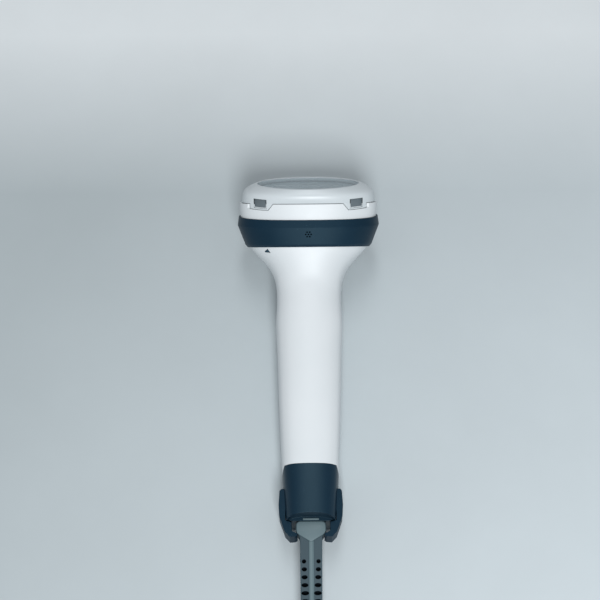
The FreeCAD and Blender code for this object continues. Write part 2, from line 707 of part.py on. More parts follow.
def foot_cover_shape():
    end = -size("foot_end")
    sleeve = outer.common(slab_y(-FAR, COVER_Y))
    spigot = inner.common(slab_y(COVER_Y - 1, COVER_Y + size("spigot_length")))
    hollow = body(evened(grip_stations(), 2 * SECTION_SPACING), size("wall") + size("spigot_wall"))
    hollow = hollow.common(slab_y(end + size("end_wall"), FAR))
    cover = sleeve.fuse([spigot, cover_tongue()])
    land = Part.makeBox(size("land_width"), size("land_length"), 3.0,
                        Vector(-size("land_width") / 2, -size("land_length") / 2, 0))
    cover = cover.fuse(land).cut(hollow)
    jack_width = size("plug_width") + 2 * size("jack_wall") + 0.4
    for side in (-1, 1):
        inner_block = Part.makeBox(5.0, size("latch_pad") + 7.0, LATCH_HIGH - LATCH_LOW + 6,
                                   Vector(side * (jack_width / 2 + 2.5) - 2.5, end + 1, LATCH_LOW - 3))
        cover = cover.fuse(inner_block.common(outer))
    cover = cover.cut([latch_pocket(-1), latch_pocket(1), spring_bore(-1), spring_bore(1)])
    bite = size("moving_gap") + size("latch_pin_bite")
    cover = cover.cut([latch_axle(side, size("latch_pin_radius"), LATCH_LOW - bite, LATCH_HIGH + bite)
                       for side in (-1, 1)])
    cover = cover.cut(foot_screw_line(size("small_screw_radius"), 0, FOOT_SCREW_Z + size("small_screw_length")))
    mouth = Part.makeBox(size("plug_width") + 0.4, size("end_wall") + 4, size("plug_depth") + 0.4,
                         Vector(-size("plug_width") / 2 - 0.2, end - 2, PLUG_Z - size("plug_depth") / 2 - 0.2))
    mouth_top = PLUG_Z + size("plug_depth") / 2 + 0.7
    arch = Part.Ellipse(Vector(0, end, mouth_top), size("arch_width") / 2, size("arch_depth"))
    notch = Part.Face(Part.Wire(arch.toShape())).extrude(Vector(0, 0, FAR))
    return cover.cut([mouth, notch])


foot_cover = foot_cover_shape()
freeform("foot_cover", foot_cover)

# ---------------------------------------------------------------- places shared by shells and inner pieces
BOARD_LOW = size("board_height")
BOARD_TOP = BOARD_LOW + size("board_thick")
BOARD_START = size("jack_length") - size("foot_end") + size("end_wall")
BOARD_END = ROOT_Y - size("board_end_gap")
GRIP_SCREWS = [(0.0, between(BOARD_START, MIDDLE_Y, 0.45)), (0.0, RIDGE_Y - 11.0)]
HEAD_SCREWS = [(-15.5, ROOT_Y - 3.0), (15.5, ROOT_Y - 3.0)]
SCREW_SEATS = {place: BOARD_TOP + 1.6 - size("screw_grip") for place in GRIP_SCREWS + HEAD_SCREWS}
POSTS = [(side * (size("board_width") / 2 - 2.2), y) for side in (-1, 1)
         for y in (BOARD_START + 3.4, MIDDLE_Y + 8.0, BOARD_END - 2.4)]
KEY_HIGH_Y = ROOT_Y - size("key_end_before_root")
KEY_LOW_Y = KEY_HIGH_Y - size("key_length")
KEY_TOP = size("key_rise") + size("key_thick")
PIN_Y = KEY_LOW_Y - size("key_pivot_back")
PIN_Z = size("key_pivot_rise")
PIPE_Y = ROOT_Y - size("pipe_before_root")
BRACKET_X = size("key_ear_centre") + size("key_ear") / 2 + 0.4
ENGINE_FRONT = RIM_AT - size("window_sink") - size("window_glass") - size("gasket_thick") - size("engine_gap")
ENGINE_BACK = ENGINE_FRONT - size("engine_length")
ENGINE_TOP = size("engine_lift") + size("engine_depth") / 2
CRADLE_TOP = ENGINE_TOP + size("plate_thick")
CRADLE_SCREWS = [(-size("cradle_screw"), ENGINE_BACK + 5.0), (size("cradle_screw"), ENGINE_BACK + 5.0)]
BUZZER_FACE = size("root_depth") / 2 - size("buzzer_skin")


def stadium(length, width, low, high, centre_y):
    """A slab with two round ends, standing along Z."""
    radius = width / 2
    straight = length - width
    slab = Part.makeBox(width, straight, high - low, Vector(-radius, centre_y - straight / 2, low))
    ends = [Part.makeCylinder(radius, high - low, Vector(0, centre_y + end * straight / 2, low))
            for end in (-1, 1)]
    return slab.fuse(ends).removeSplitter()


def light_pipe_shape():
    """A pill through the back wall, flush outside."""
    pill = stadium(size("pipe_width"), size("pipe_length"), -1, BOARD_LOW - size("led_height") - 0.2, 0)
    pill.rotate(Vector(0, 0, 0), Vector(0, 0, 1), 90)
    pill.translate(Vector(0, PIPE_Y, 0))
    return pill.common(outer)


light_pipe = light_pipe_shape()


# ---------------------------------------------------------------- the two shells
def shell_blank():
    """The housing's wall from the foot cover to the seam, with its grooves."""
    blank = outer.cut(inner).cut([slab_y(-FAR, COVER_Y), bumper_solid, cover_tongue()])
    recesses = [head_prism(tab_outline(side, size("tab_play")), 0, FAR).cut(tab_core) for side in (-1, 1)]
    return blank.cut(recesses + [tab_flank(-1), tab_flank(1)]).cut(seam_gap())


def seam_gap():
    """Room in front of the shells' end, a gap short of the nose cap."""
    room = Part.makeBox(2 * FAR, FAR, 2 * FAR, Vector(-FAR, 0, -FAR))
    start = Placement(Vector(0, SEAM_AT - size("cap_gap"), 0.4), Rotation(Vector(1, 0, 0), -SEAM_SKEW))
    room.Placement = HEAD.multiply(start).multiply(room.Placement)
    return room


def tab_flank(side):
    """Room for a level floor beside a snap tab, on its outer side."""
    near = side * size("tab_outer")
    far = side * (size("tab_outer") + size("flank_width"))
    tip = SEAM_FRONT - size("tab_length")
    corners = [(near, tip), (far, tip), (far, SEAM_FRONT + 3.0), (near, SEAM_FRONT + 3.0)]
    return head_prism(corners, size("flank_floor"), FAR)


hook_rooms = [head_prism(tab_window(side, size("hook_play")), 0, FAR) for side in (-1, 1)]


def snap_hooks_shape():
    """Hooks that come through the collar's wall and show in the tabs' holes."""
    rows = evened(nose_stations(size("collar_length") - 1.0), 2.0)
    skin = body(rows, size("hook_sink")).cut(body(rows, size("hook_sink") + size("hook_thick")))
    return Part.makeCompound([skin.common(room).Solids[0] for room in hook_rooms])


def pry_notch():
    """Small three-cornered notch in the front below the bumper, left of the middle."""
    across = size("notch_centre") / (size("root_width") / 2)
    lift = size("root_depth") / 2 * (1 - across ** ROOT_POWER) ** (1 / ROOT_POWER)
    top = lift * math.sin(math.radians(size("root_skew"))) - size("notch_before")
    low = top - size("notch_length")
    half = size("notch_width") / 2
    corners = [(-size("notch_centre"), top), (-size("notch_centre") - half, low),
               (-size("notch_centre") + half, low)]
    return head_prism(corners, size("notch_floor"), FAR)


def front_shell_shape(blank):
    shell = blank.common(front_space)
    adds = []
    cuts = []
    for place, seat in SCREW_SEATS.items():
        joint = seat + size("screw_grip")
        boss = Part.makeCylinder(size("boss_radius"), FAR, Vector(place[0], place[1], joint))
        adds.append(boss.common(outer))
        cuts.append(Part.makeCylinder(size("screw_radius"), size("screw_length") - size("screw_grip") + 0.4,
                                      Vector(place[0], place[1], joint)))
    for x, along in CRADLE_SCREWS:
        boss = head_cylinder(size("boss_radius"), Vector(x, along, CRADLE_TOP), Vector(0, 0, 1), FAR)
        adds.append(boss.common(outer))
        cuts.append(head_cylinder(size("small_screw_radius"), Vector(x, along, CRADLE_TOP), Vector(0, 0, 1),
                                  size("small_screw_length")))
    start = Vector(0, size("buzzer_along"), BUZZER_FACE - size("buzzer_thick"))
    collar = head_cylinder(size("buzzer_radius") + 1.2, start, Vector(0, 0, 1), FAR)
    pot = head_cylinder(size("buzzer_radius"), start, Vector(0, 0, 1), size("buzzer_thick"))
    port = head_cylinder(size("port_ring") + 0.6, start, Vector(0, 0, 1), FAR)
    adds.append(collar.common(outer))
    shell = shell.fuse(adds)
    return shell.cut(cuts + [pot, port, bumper_solid, pry_notch()])


def back_shell_shape(blank):
    shell = blank.cut(front_space)
    adds = []
    cuts = []
    for place, seat in SCREW_SEATS.items():
        joint = seat + size("screw_grip")
        base = Vector(place[0], place[1], -1)
        adds.append(Part.makeCylinder(size("boss_radius") + 0.6, joint + 1, base).common(outer))
        cuts.append(Part.makeCylinder(size("screw_head") + 0.2, seat + 1, base))
        cuts.append(Part.makeCylinder(size("screw_radius") + 0.2, joint + 1, base))
    for x, y in POSTS:
        adds.append(Part.makeCylinder(size("post_radius"), BOARD_LOW + 1, Vector(x, y, -1)).common(outer))
        cuts.append(Part.makeCylinder(size("small_screw_radius"), size("small_screw_length"),
                                      Vector(x, y, BOARD_TOP - size("small_screw_length"))))
    for side in (-1, 1):
        centre = side * (BRACKET_X + size("bracket_thick") / 2)
        bracket = Part.makeBox(size("bracket_thick"), 4.4, PIN_Z + size("key_eye"),
                               Vector(centre - size("bracket_thick") / 2, PIN_Y - 2.2, 0))
        adds.append(bracket.common(outer))
    cuts.append(Part.makeCylinder(size("key_pin_radius"), 40, Vector(-20, PIN_Y, PIN_Z), Vector(1, 0, 0)))
    gap = size("moving_gap")
    cuts.append(stadium(size("key_length") + 2 * gap, size("key_width") + 2 * gap, -1, PIN_Z + 1.8,
                        (KEY_LOW_Y + KEY_HIGH_Y) / 2))
    cuts.append(light_pipe)
    cuts.append(Part.makeBox(2 * BRACKET_X - 0.2, KEY_LOW_Y + 3 - PIN_Y + 3, 6,
                             Vector(-BRACKET_X + 0.1, PIN_Y - 3, PIN_Z - size("key_eye") - 0.8)))
    cuts.append(foot_screw_line(size("small_screw_head") + 0.2, 0, FOOT_SCREW_Z))
    cuts.append(foot_screw_line(size("small_screw_radius"), 0, FOOT_SCREW_Z + size("small_screw_length")))
    return shell.fuse(adds).cut(cuts)


blank = shell_blank()
freeform("front_shell", front_shell_shape(blank).cut(hook_rooms))
freeform("snap_hooks", snap_hooks_shape())
freeform("back_shell", back_shell_shape(blank))
freeform("light_pipe", light_pipe)


# ---------------------------------------------------------------- sketched pieces
def new_body(label):
    """A body named as a sub-part."""
    obj = doc.addObject("PartDesign::Body", label)
    return node(label, obj)


def sketch_on(holder, role, name):
    """A sketch on one of a body's own origin planes."""
    plane = [item for item in holder.Origin.OriginFeatures if item.Role == role][0]
    sketch = holder.newObject("Sketcher::SketchObject", name)
    sketch.AttachmentSupport = [(plane, "")]
    sketch.MapMode = "FlatFace"
    return sketch


def outline(sketch, corners):
    """A closed polygon whose corners are tied to the sheet."""
    first = sketch.GeometryCount
    count = len(corners)
    places = [Vector(float(sheet.evalExpression(plain(x))), float(sheet.evalExpression(plain(y))), 0)
              for x, y in corners]
    for step in range(count):
        sketch.addGeometry(Part.LineSegment(places[step], places[(step + 1) % count]), False)
    for step in range(count):
        following = first + (step + 1) % count
        sketch.addConstraint(Sketcher.Constraint("Coincident", first + step, 2, following, 1))
    for step, (x, y) in enumerate(corners):
        for kind, text, value in (("DistanceX", x, places[step].x), ("DistanceY", y, places[step].y)):
            index = sketch.addConstraint(Sketcher.Constraint(kind, -1, 1, first + step, 1, value))
            sketch.setExpression("Constraints[%d]" % index, expression(text))


def plain(text):
    """The same expression as seen from inside the sheet."""
    return expression(text).replace("Sizes.", "")


def ring(sketch, x, y, radius):
    """A circle tied to the sheet."""
    centre = Vector(float(sheet.evalExpression(plain(x))), float(sheet.evalExpression(plain(y))), 0)
    index = sketch.addGeometry(Part.Circle(centre, Vector(0, 0, 1),
                                           float(sheet.evalExpression(plain(radius)))), False)
    for kind, text, value in (("DistanceX", x, centre.x), ("DistanceY", y, centre.y)):
        row = sketch.addConstraint(Sketcher.Constraint(kind, -1, 1, index, 3, value))
        sketch.setExpression("Constraints[%d]" % row, expression(text))
    row = sketch.addConstraint(Sketcher.Constraint("Radius", index, float(sheet.evalExpression(plain(radius)))))
    sketch.setExpression("Constraints[%d]" % row, expression(radius))


def padded(holder, sketch, length):
    """A pad as long to one side of its sketch as to the other."""
    pad = holder.newObject("PartDesign::Pad", sketch.Name + "_pad")
    pad.Profile = sketch
    pad.Midplane = True
    bind(pad, "Length", length)
    sketch.Visibility = False
    return pad


# ---------------------------------------------------------------- squeeze latches at the foot
def latch(label, side):
    """Finger pad, eye and hook in one lever, drawn from its pin."""
    holder = new_body(label)
    lever = sketch_on(holder, "XY_Plane", label + "_lever")
    corners = [("latch_proud - 0.9", "latch_pad"), ("latch_proud - 0.2", "latch_pad - 0.9"),
               ("latch_proud + 0.2", "1.0"), ("latch_proud - 0.1", "0 - 4.0"),
               ("latch_proud - 2.6", "2.3 - latch_reach"), ("0 - 1.0", "0 - latch_reach"),
               ("0 - 3.4", "0.2 - latch_reach"), ("0 - 4.35", "0.8 - latch_reach"),
               ("0 - 4.35", "1.4 - latch_reach"), ("0 - 2.1", "2.5 - latch_reach"),
               ("0 - 1.8", "3.2 - latch_reach"), ("0 - 1.8", "0 - 6.9"),
               ("latch_proud - latch_thick - 0.1", "0 - 6.0"),
               ("latch_proud - latch_thick", "latch_pad")]
    outline(lever, [("%d * (%s)" % (side, x), y) for x, y in corners])
    padded(holder, lever, "latch_height")
    eye = sketch_on(holder, "XY_Plane", label + "_eye")
    ring(eye, "0", "0", "latch_eye")
    padded(holder, eye, "latch_height")
    bore = sketch_on(holder, "XY_Plane", label + "_bore")
    ring(bore, "0", "0", "latch_pin_radius + pin_play")
    hole = holder.newObject("PartDesign::Pocket", label + "_hole")
    hole.Profile = bore
    hole.Midplane = True
    hole.Type = "Length"
    bind(hole, "Length", "latch_height + 2")
    at(holder, "%d * latch_pivot_x" % side, "0 - latch_pivot_y", "plug_height")


latch("latch_left", -1)
latch("latch_right", 1)
pin_reach = "latch_height / 2 + moving_gap + latch_pin_bite"
pins = [cylinder("latch_pin_%d" % index, "latch_pin_radius", "2 * (%s)" % pin_reach,
                 "%d * latch_pivot_x" % side, "0 - latch_pivot_y", "plug_height - (%s)" % pin_reach)
        for index, side in enumerate((-1, 1))]
node("latch_pins", grouped("latch_pins_group", pins))
for label, side in (("latch_spring_left", -1), ("latch_spring_right", 1)):
    start = ("%d * (latch_pivot_x + latch_proud - latch_thick - 0.2)" % side, "latch_pad - latch_pivot_y - 2.6")
    coil = cylinder(label + "_outside", "latch_spring_radius", str(SPRING_LENGTH),
                    start[0], start[1], "plug_height", (-side, 0, 0))
    hole = cylinder(label + "_inside", "latch_spring_radius - 0.4", str(SPRING_LENGTH),
                    start[0], start[1], "plug_height", (-side, 0, 0))
    node(label, less(label + "_coil", coil, hole))


def small_screw(name, x, y, seat, up):
    """A small screw whose head lies outside its seat; up is +1 where it points upwards."""
    head_start = "(%s) - %s" % (seat, "small_screw_head_thick" if up > 0 else "0")
    head = cylinder(name + "_head", "small_screw_head", "small_screw_head_thick", x, y, head_start)
    shank_start = "(%s) - %s" % (seat, "0" if up > 0 else "small_screw_length")
    shank = cylinder(name + "_shank", "small_screw_radius", "small_screw_length", x, y, shank_start)
    return joined(name, [head, shank])


foot_screw = small_screw("foot_screw_solid", "0", "cover_length - foot_end + spigot_length / 2",
                         str(FOOT_SCREW_Z), 1)
node("foot_screw", foot_screw)

# ---------------------------------------------------------------- lead and what it plugs into
jack_blank = box("jack_blank", "plug_width + 2 * jack_wall + 0.4", "jack_length",
                 "plug_depth + 2 * jack_wall + 0.4", "0", "end_wall - foot_end",
                 "plug_height - plug_depth / 2 - jack_wall - 0.2")
jack_room = box("jack_room", "plug_width + 0.4", "plug_length - end_wall + 0.4", "plug_depth + 0.4", "0",
                "end_wall - foot_end", "plug_height - plug_depth / 2 - 0.2")
node("cable_jack", less("jack", jack_blank, jack_room))
plug = box("plug", "plug_width", "plug_length", "plug_depth", "0", "0 - foot_end",
           "plug_height - plug_depth / 2")
node("cable_plug", plug)

tee = new_body("strain_relief")
head_sketch = sketch_on(tee, "XY_Plane", "tee_outline")
half = "tee_width / 2"
outline(head_sketch, [("0 - " + half, "0"), (half, "0"), (half, "0 - tee_straight"),
                      ("relief_width / 2", "0 - tee_straight - tee_taper"),
                      ("0 - relief_width / 2", "0 - tee_straight - tee_taper"),
                      ("0 - " + half, "0 - tee_straight")])
padded(tee, head_sketch, "tee_depth")
stem = tee.newObject("PartDesign::AdditiveWedge", "stem")
for prop, text in (("Xmin", "0 - relief_width / 2"), ("Xmax", "relief_width / 2"),
                   ("Zmin", "0 - relief_depth / 2"), ("Zmax", "relief_depth / 2"),
                   ("X2min", "0 - relief_tip / 2"), ("X2max", "relief_tip / 2"),
                   ("Z2min", "0 - relief_tip / 2"), ("Z2max", "relief_tip / 2"),
                   ("Ymin", "0"), ("Ymax", "relief_length")):
    bind(stem, prop, text)
stem.Placement = Placement(Vector(0, 0, 0), Rotation(Vector(0, 0, 1), 180))
bind(stem, "Placement.Base.y", "0 - tee_straight - tee_taper")
at(tee, "0", "0 - foot_end", "plug_height")

CORD = size("cord_radius")
TIP_Y = -size("foot_end") - size("tee_straight") - size("tee_taper") - size("relief_length")
COIL_X = -size("coil_aside")
COIL_Y = TIP_Y - 62.0
LOW_TURN = size("tie_thick") + CORD
NEAR_X = COIL_X + size("coil_radius")
FAR_X = NEAR_X + 2 * CORD
USB_X = NEAR_X + 2.0
USB_Y = COIL_Y - 38.8
USB_Z = size("usb_grip_depth") / 2
LEAD = [(0.0, TIP_Y, PLUG_Z), (0.0, TIP_Y - 12.0, PLUG_Z), (1.5, TIP_Y - 25.0, PLUG_Z - 6.4),
        (NEAR_X - 8.5, COIL_Y + 25.0, 2.3), (NEAR_X - 2.0, COIL_Y + 13.7, LOW_TURN),
        (NEAR_X, COIL_Y + 2.7, LOW_TURN)]
TAIL = [(FAR_X, COIL_Y - 4.0, LOW_TURN + 2 * CORD), (FAR_X - 0.2, COIL_Y - 15.8, 6.2),
        (USB_X, USB_Y + 11.0, USB_Z), (USB_X, USB_Y, USB_Z)]


def cord_tube(route):
    """A tube along straight runs joined by tangent arcs."""
    points = [Vector(*point) for point in route]
    edges = []
    start = points[0]
    length = 0.0
    for before, corner, after in zip(points, points[1:], points[2:]):
        to_before = (before - corner).normalize()
        to_after = (after - corner).normalize()
        turn = math.pi - to_before.getAngle(to_after)
        reach = 0.45 * min((before - corner).Length, (after - corner).Length)
        radius = reach / math.tan(turn / 2)
        print("cord turn %.1f degrees, radius %.1f" % (math.degrees(turn), radius))
        enter = corner + to_before * reach
        leave = corner + to_after * reach
        bisector = (to_before + to_after).normalize()
        centre = corner + bisector * math.hypot(radius, reach)
        middle = centre - bisector * radius
        edges.append(Part.LineSegment(start, enter).toShape())
        edges.append(Part.Arc(enter, middle, leave).toShape())
        length += (enter - start).Length + radius * turn
        start = leave
    edges.append(Part.LineSegment(start, points[-1]).toShape())
    length += (points[-1] - start).Length
    ring_wire = Part.Wire(Part.Circle(points[0], points[1] - points[0], CORD).toShape())
    tube = Part.Wire(edges).makePipeShell([ring_wire], True, False)
    print("cord tube volume %.1f, section times length %.1f" % (tube.Volume, math.pi * CORD ** 2 * length))
    return tube


freeform("cable", cord_tube(LEAD))
freeform("cable_tail", cord_tube(TAIL))
turn_width = "coil_rows * cord_radius"
coil_height = "coil_layers * 2 * cord_radius"
coil_outside = cylinder("coil_outside", "coil_radius + " + turn_width, coil_height,
                        "0 - coil_aside", str(COIL_Y), "tie_thick")
coil_inside = cylinder("coil_inside", "coil_radius - " + turn_width, coil_height,
                       "0 - coil_aside", str(COIL_Y), "tie_thick")
node("cable_coil", less("coil", coil_outside, coil_inside))
strap_start = "(%s) + coil_radius - %s - tie_slack" % (COIL_Y, turn_width)
strap = box("strap_outside", "tie_width", "2 * %s + 2 * tie_thick + tie_slack" % turn_width,
            coil_height + " + 2 * tie_thick", "0 - coil_aside", strap_start + " - tie_thick", "0")
strap_room = box("strap_inside", "tie_width + 2", "2 * %s + tie_slack" % turn_width, coil_height,
                 "0 - coil_aside", strap_start, "tie_thick")
node("coil_tie", less("strap", strap, strap_room))

usb_grip = doc.addObject("Part::Box", "usb_grip")
bind(usb_grip, "Length", "usb_grip_width")
bind(usb_grip, "Width", "usb_grip_length")
bind(usb_grip, "Height", "usb_grip_depth")
at(usb_grip, "%s - usb_grip_width / 2" % USB_X, "%s - usb_grip_length" % USB_Y, "0")
rounded = doc.addObject("Part::Fillet", "usb_grip_rounded")
rounded.Base = usb_grip
rounded.Edges = [(index, 1.6, 1.6) for index in range(1, 13)]
node("usb_plug_grip", rounded)


def usb_block(name, length, width, height, start):
    """A block on the axis of the USB plug, running away from its grip."""
    obj = doc.addObject("Part::Box", name)
    bind(obj, "Length", width)
    bind(obj, "Width", length)
    bind(obj, "Height", height)
    return at(obj, "%s - (%s) / 2" % (USB_X, width), "%s - usb_grip_length - (%s)" % (USB_Y, start),
              "usb_grip_depth / 2 - (%s) / 2" % height)


shell_block = usb_block("usb_shell_block", "usb_shell_length", "usb_shell_width", "usb_shell_depth",
                        "usb_shell_length")
shell_room = usb_block("usb_shell_room", "usb_shell_length", "usb_shell_width - 2 * usb_shell_wall",
                       "usb_shell_depth - 2 * usb_shell_wall", "usb_shell_length")
node("usb_plug_shell", less("usb_shell", shell_block, shell_room))
tongue = usb_block("usb_tongue_block", "usb_shell_length - 1.2", "usb_shell_width - 2 * usb_shell_wall",
                   "usb_tongue_depth", "usb_shell_length - 1.2")
bind(tongue, "Placement.Base.z", "usb_grip_depth / 2 - usb_shell_depth / 2 + usb_shell_wall")
node("usb_plug_tongue", tongue)

# ---------------------------------------------------------------- screws, board and its parts
screws = []
for index, (place, seat) in enumerate(SCREW_SEATS.items()):
    head = cylinder("screw_head_%d" % index, "screw_head", "screw_head_thick",
                    str(place[0]), str(place[1]), "%s - screw_head_thick" % seat)
    shank = cylinder("screw_shank_%d" % index, "screw_radius", "screw_length",
                     str(place[0]), str(place[1]), str(seat))
    screws.append(joined("housing_screw_%d" % index, [head, shank]))
node("housing_screws", grouped("housing_screw_group", screws))

board_plate = box("board_plate", "board_width", str(BOARD_END - BOARD_START), "board_thick", "0",
                  str(BOARD_START), "board_height")
board_holes = [cylinder("board_hole_%d" % index, "boss_radius + 0.9", "board_thick + 2", str(x), str(y),
                        "board_height - 1") for index, (x, y) in enumerate(GRIP_SCREWS)]
board_holes += [cylinder("post_hole_%d" % index, "small_screw_radius", "board_thick + 2", str(x), str(y),
                         "board_height - 1") for index, (x, y) in enumerate(POSTS)]
node("main_board", less("board", board_plate, joined("board_hole_group", board_holes)))
node("board_screws", grouped("board_screw_group", [
    small_screw("board_screw_%d" % index, str(x), str(y), "board_height + board_thick", -1)
    for index, (x, y) in enumerate(POSTS)]))


def on_board(name, across, along, up, x, y):
    """A part on the upper side of the main board."""
    return box(name, str(across), str(along), str(up), str(x), str(y - along / 2), "board_height + board_thick")


CHIP_Y = MIDDLE_Y + 18.0
node("decoder_chip", on_board("chip", 12, 12, 1.2, 0, CHIP_Y))
node("memory_chip", on_board("memory", 8, 10, 1.0, 3.0, MIDDLE_Y))
node("power_coil", on_board("coil_block", 5, 5, 2.6, -5.0, BOARD_START + 9.0))
small_parts = [on_board("part_%d" % index, 1.6, 3.2, 1.0, x, y) for index, (x, y) in enumerate(
    [(side * 7.6, CHIP_Y + row * 4.6 - 6.0) for side in (-1, 1) for row in range(4)]
    + [(-4.5 - 2.6 * row, MIDDLE_Y - 2.0) for row in range(2)] + [(5.0, BOARD_START + 9.0)])]
node("board_capacitors", grouped("small_parts_group", small_parts))
FLEX_Y = BOARD_END - 9.5
node("flex_connector", on_board("connector", 10, 5, 1.8, 0, FLEX_Y))
node("trigger_switch", box("switch_block", "switch_size", "switch_size",
                           "board_height - key_rise - key_thick - 0.3 - dome_height", "0",
                           "%s - switch_size / 2" % (KEY_HIGH_Y - size("key_width") / 2),
                           "key_rise + key_thick + 0.3 + dome_height"))
node("trigger_dome", cylinder("dome", "dome_radius", "dome_height", "0",
                              str(KEY_HIGH_Y - size("key_width") / 2), "key_rise + key_thick + 0.3"))
node("status_leds", grouped("status_led_group", [
    box("status_led_%d" % index, "1.6", "1.6", "led_height", str(side * 3.0), str(PIPE_Y - 0.8),
        "board_height - led_height") for index, side in enumerate((-1, 1))]))


# ---------------------------------------------------------------- thumb key on the back
def trigger_key_shape():
    middle = (KEY_LOW_Y + KEY_HIGH_Y) / 2
    cap = stadium(size("key_length"), size("key_width"), size("key_rise"), KEY_TOP, middle)
    low_edges = [edge for edge in cap.Edges if abs(edge.BoundBox.ZMax - size("key_rise")) < 1e-6]
    cap = cap.makeFillet(size("key_edge"), low_edges)
    for side in (-1, 1):
        left = side * size("key_ear_centre") - size("key_ear") / 2
        arm = Part.makeBox(size("key_ear"), KEY_LOW_Y + 5.6 - PIN_Y, 2 * size("key_eye") - 0.8,
                           Vector(left, PIN_Y, PIN_Z - size("key_eye") + 0.8))
        web = Part.makeBox(size("key_ear"), 2.0, PIN_Z + size("key_eye") - KEY_TOP + 1,
                           Vector(left, KEY_LOW_Y + 3.6, KEY_TOP - 1))
        eye = Part.makeCylinder(size("key_eye"), size("key_ear"), Vector(left, PIN_Y, PIN_Z), Vector(1, 0, 0))
        cap = cap.fuse([arm, web, eye])
    bore = Part.makeCylinder(size("key_pin_radius") + size("pin_play"), 40, Vector(-20, PIN_Y, PIN_Z),
                             Vector(1, 0, 0))
    return cap.cut(bore)


freeform("trigger_key", trigger_key_shape())
pin_half = BRACKET_X + size("bracket_thick")
node("trigger_pin", cylinder("key_pin", "key_pin_radius", str(2 * pin_half), str(-pin_half), str(PIN_Y),
                             "key_pivot_rise", (1, 0, 0)))
spring_tube = less("key_spring_tube",
                   cylinder("key_spring_outside", "key_pin_radius + 0.9", "4", "0 - 2", str(PIN_Y),
                            "key_pivot_rise", (1, 0, 0)),
                   cylinder("key_spring_inside", "key_pin_radius + 0.3", "4", "0 - 2", str(PIN_Y),
                            "key_pivot_rise", (1, 0, 0)))
long_leg = cylinder("key_spring_leg", "0.3", "5.5", "1.7", str(PIN_Y), "key_pivot_rise + key_pin_radius + 0.6",
                    (0, -1, 0))
key_leg = cylinder("key_spring_foot", "0.3", "7.5", "0 - 1.7", str(PIN_Y), "key_pivot_rise - key_pin_radius - 0.6",
                   (0, 1, 0))
node("trigger_spring", joined("key_spring", [spring_tube, long_leg, key_leg]))


# ---------------------------------------------------------------- imaging engine, in the head's own frame
def head_box(name, across, along, up, x, start, lift):
    """A box in the head's own frame, still to be carried there."""
    return box(name, str(across), str(along), str(up), str(x), str(start), str(lift))


def head_rod(name, radius, length, x, start, lift):
    """A rod along the reading direction, still to be carried there."""
    return cylinder(name, str(radius), str(length), str(x), str(start), str(lift), (0, 1, 0))


axis_lift = size("engine_lift")
low_side = axis_lift - size("engine_depth") / 2
chassis_block = head_box("chassis_block", "engine_width", "engine_length", "engine_depth", 0,
                         ENGINE_BACK, low_side)
tunnel = joined("chassis_tunnel", [
    head_rod("barrel_room", "barrel_radius", "barrel_length", 0, ENGINE_FRONT - size("barrel_length"), axis_lift),
    head_rod("light_room", "lens_radius", "engine_length", 0, ENGINE_BACK, axis_lift),
    head_box("sensor_room", 9, 1.4, 8, 0, ENGINE_BACK, axis_lift - 4)])
node("engine_chassis", in_head(less("chassis", chassis_block, tunnel)))
barrel_room = joined("barrel_bore", [
    head_rod("lens_seat", "lens_radius", "lens_thick + 0.6", 0,
             ENGINE_FRONT - size("lens_thick") - 0.6, axis_lift),
    head_rod("aperture", "lens_radius - 1.2", "barrel_length", 0,
             ENGINE_FRONT - size("barrel_length"), axis_lift)])
barrel = less("barrel", head_rod("barrel_rod", "barrel_radius", "barrel_length", 0,
                                 ENGINE_FRONT - size("barrel_length"), axis_lift), barrel_room)
node("lens_barrel", in_head(barrel))
lens_rod = head_rod("lens_rod", "lens_radius", "lens_thick", 0,
                    ENGINE_FRONT - size("lens_thick") - 0.6, axis_lift)
lens_ball = doc.addObject("Part::Sphere", "lens_ball")
bind(lens_ball, "Radius", "2 * lens_radius")
at(lens_ball, "0", "%s - 2 * lens_radius" % (ENGINE_FRONT - 0.6), str(axis_lift))
lens = doc.addObject("Part::Common", "lens")
lens.Base = lens_rod
lens.Tool = lens_ball
node("objective_lens", in_head(lens))
node("sensor_board", in_head(head_box("sensor_plate", "engine_width", "sensor_board_thick", "engine_depth", 0,
                                      ENGINE_BACK - size("sensor_board_thick"), low_side)))
node("image_sensor", in_head(head_box("sensor_chip", 7, 1.0, 6, 0, ENGINE_BACK, axis_lift - 3)))

light_top = low_side - 0.4
light_front = ENGINE_FRONT - 1.2
light_back = light_front - size("light_board_thick")
arm_x = size("engine_width") / 2 + 0.3
arm_length = 8.0
plate = head_box("cradle_plate", "cradle_width", size("engine_length") - 3, "plate_thick", 0,
                 ENGINE_BACK + 1, ENGINE_TOP)
arms = []
for index, side in enumerate((-1, 1)):
    reach = ENGINE_TOP - light_top + 4.0
    arm = head_box("cradle_arm_%d" % index, "plate_thick", arm_length, reach + 0.5, "%d * (%s + plate_thick / 2)"
                   % (side, arm_x), light_back - arm_length, ENGINE_TOP - reach)
    arms.append(arm)
cradle_holes = joined("cradle_holes", [
    cylinder("cradle_hole_%d" % index, "small_screw_radius", "plate_thick + 2", str(x), str(along),
             "%s - 1" % ENGINE_TOP) for index, (x, along) in enumerate(
                 CRADLE_SCREWS + [(side * 6.0, ENGINE_BACK + 5.0) for side in (-1, 1)])])
cradle_solid = less("cradle", joined("cradle_blank", [plate] + arms), cradle_holes)
node("engine_cradle", in_head(cradle_solid))
engine_screw_solids = [small_screw("cradle_screw_%d" % index, str(x), str(along), str(ENGINE_TOP), 1)
                       for index, (x, along) in enumerate(CRADLE_SCREWS)]
node("engine_screws", in_head(grouped("engine_screw_group", engine_screw_solids)))

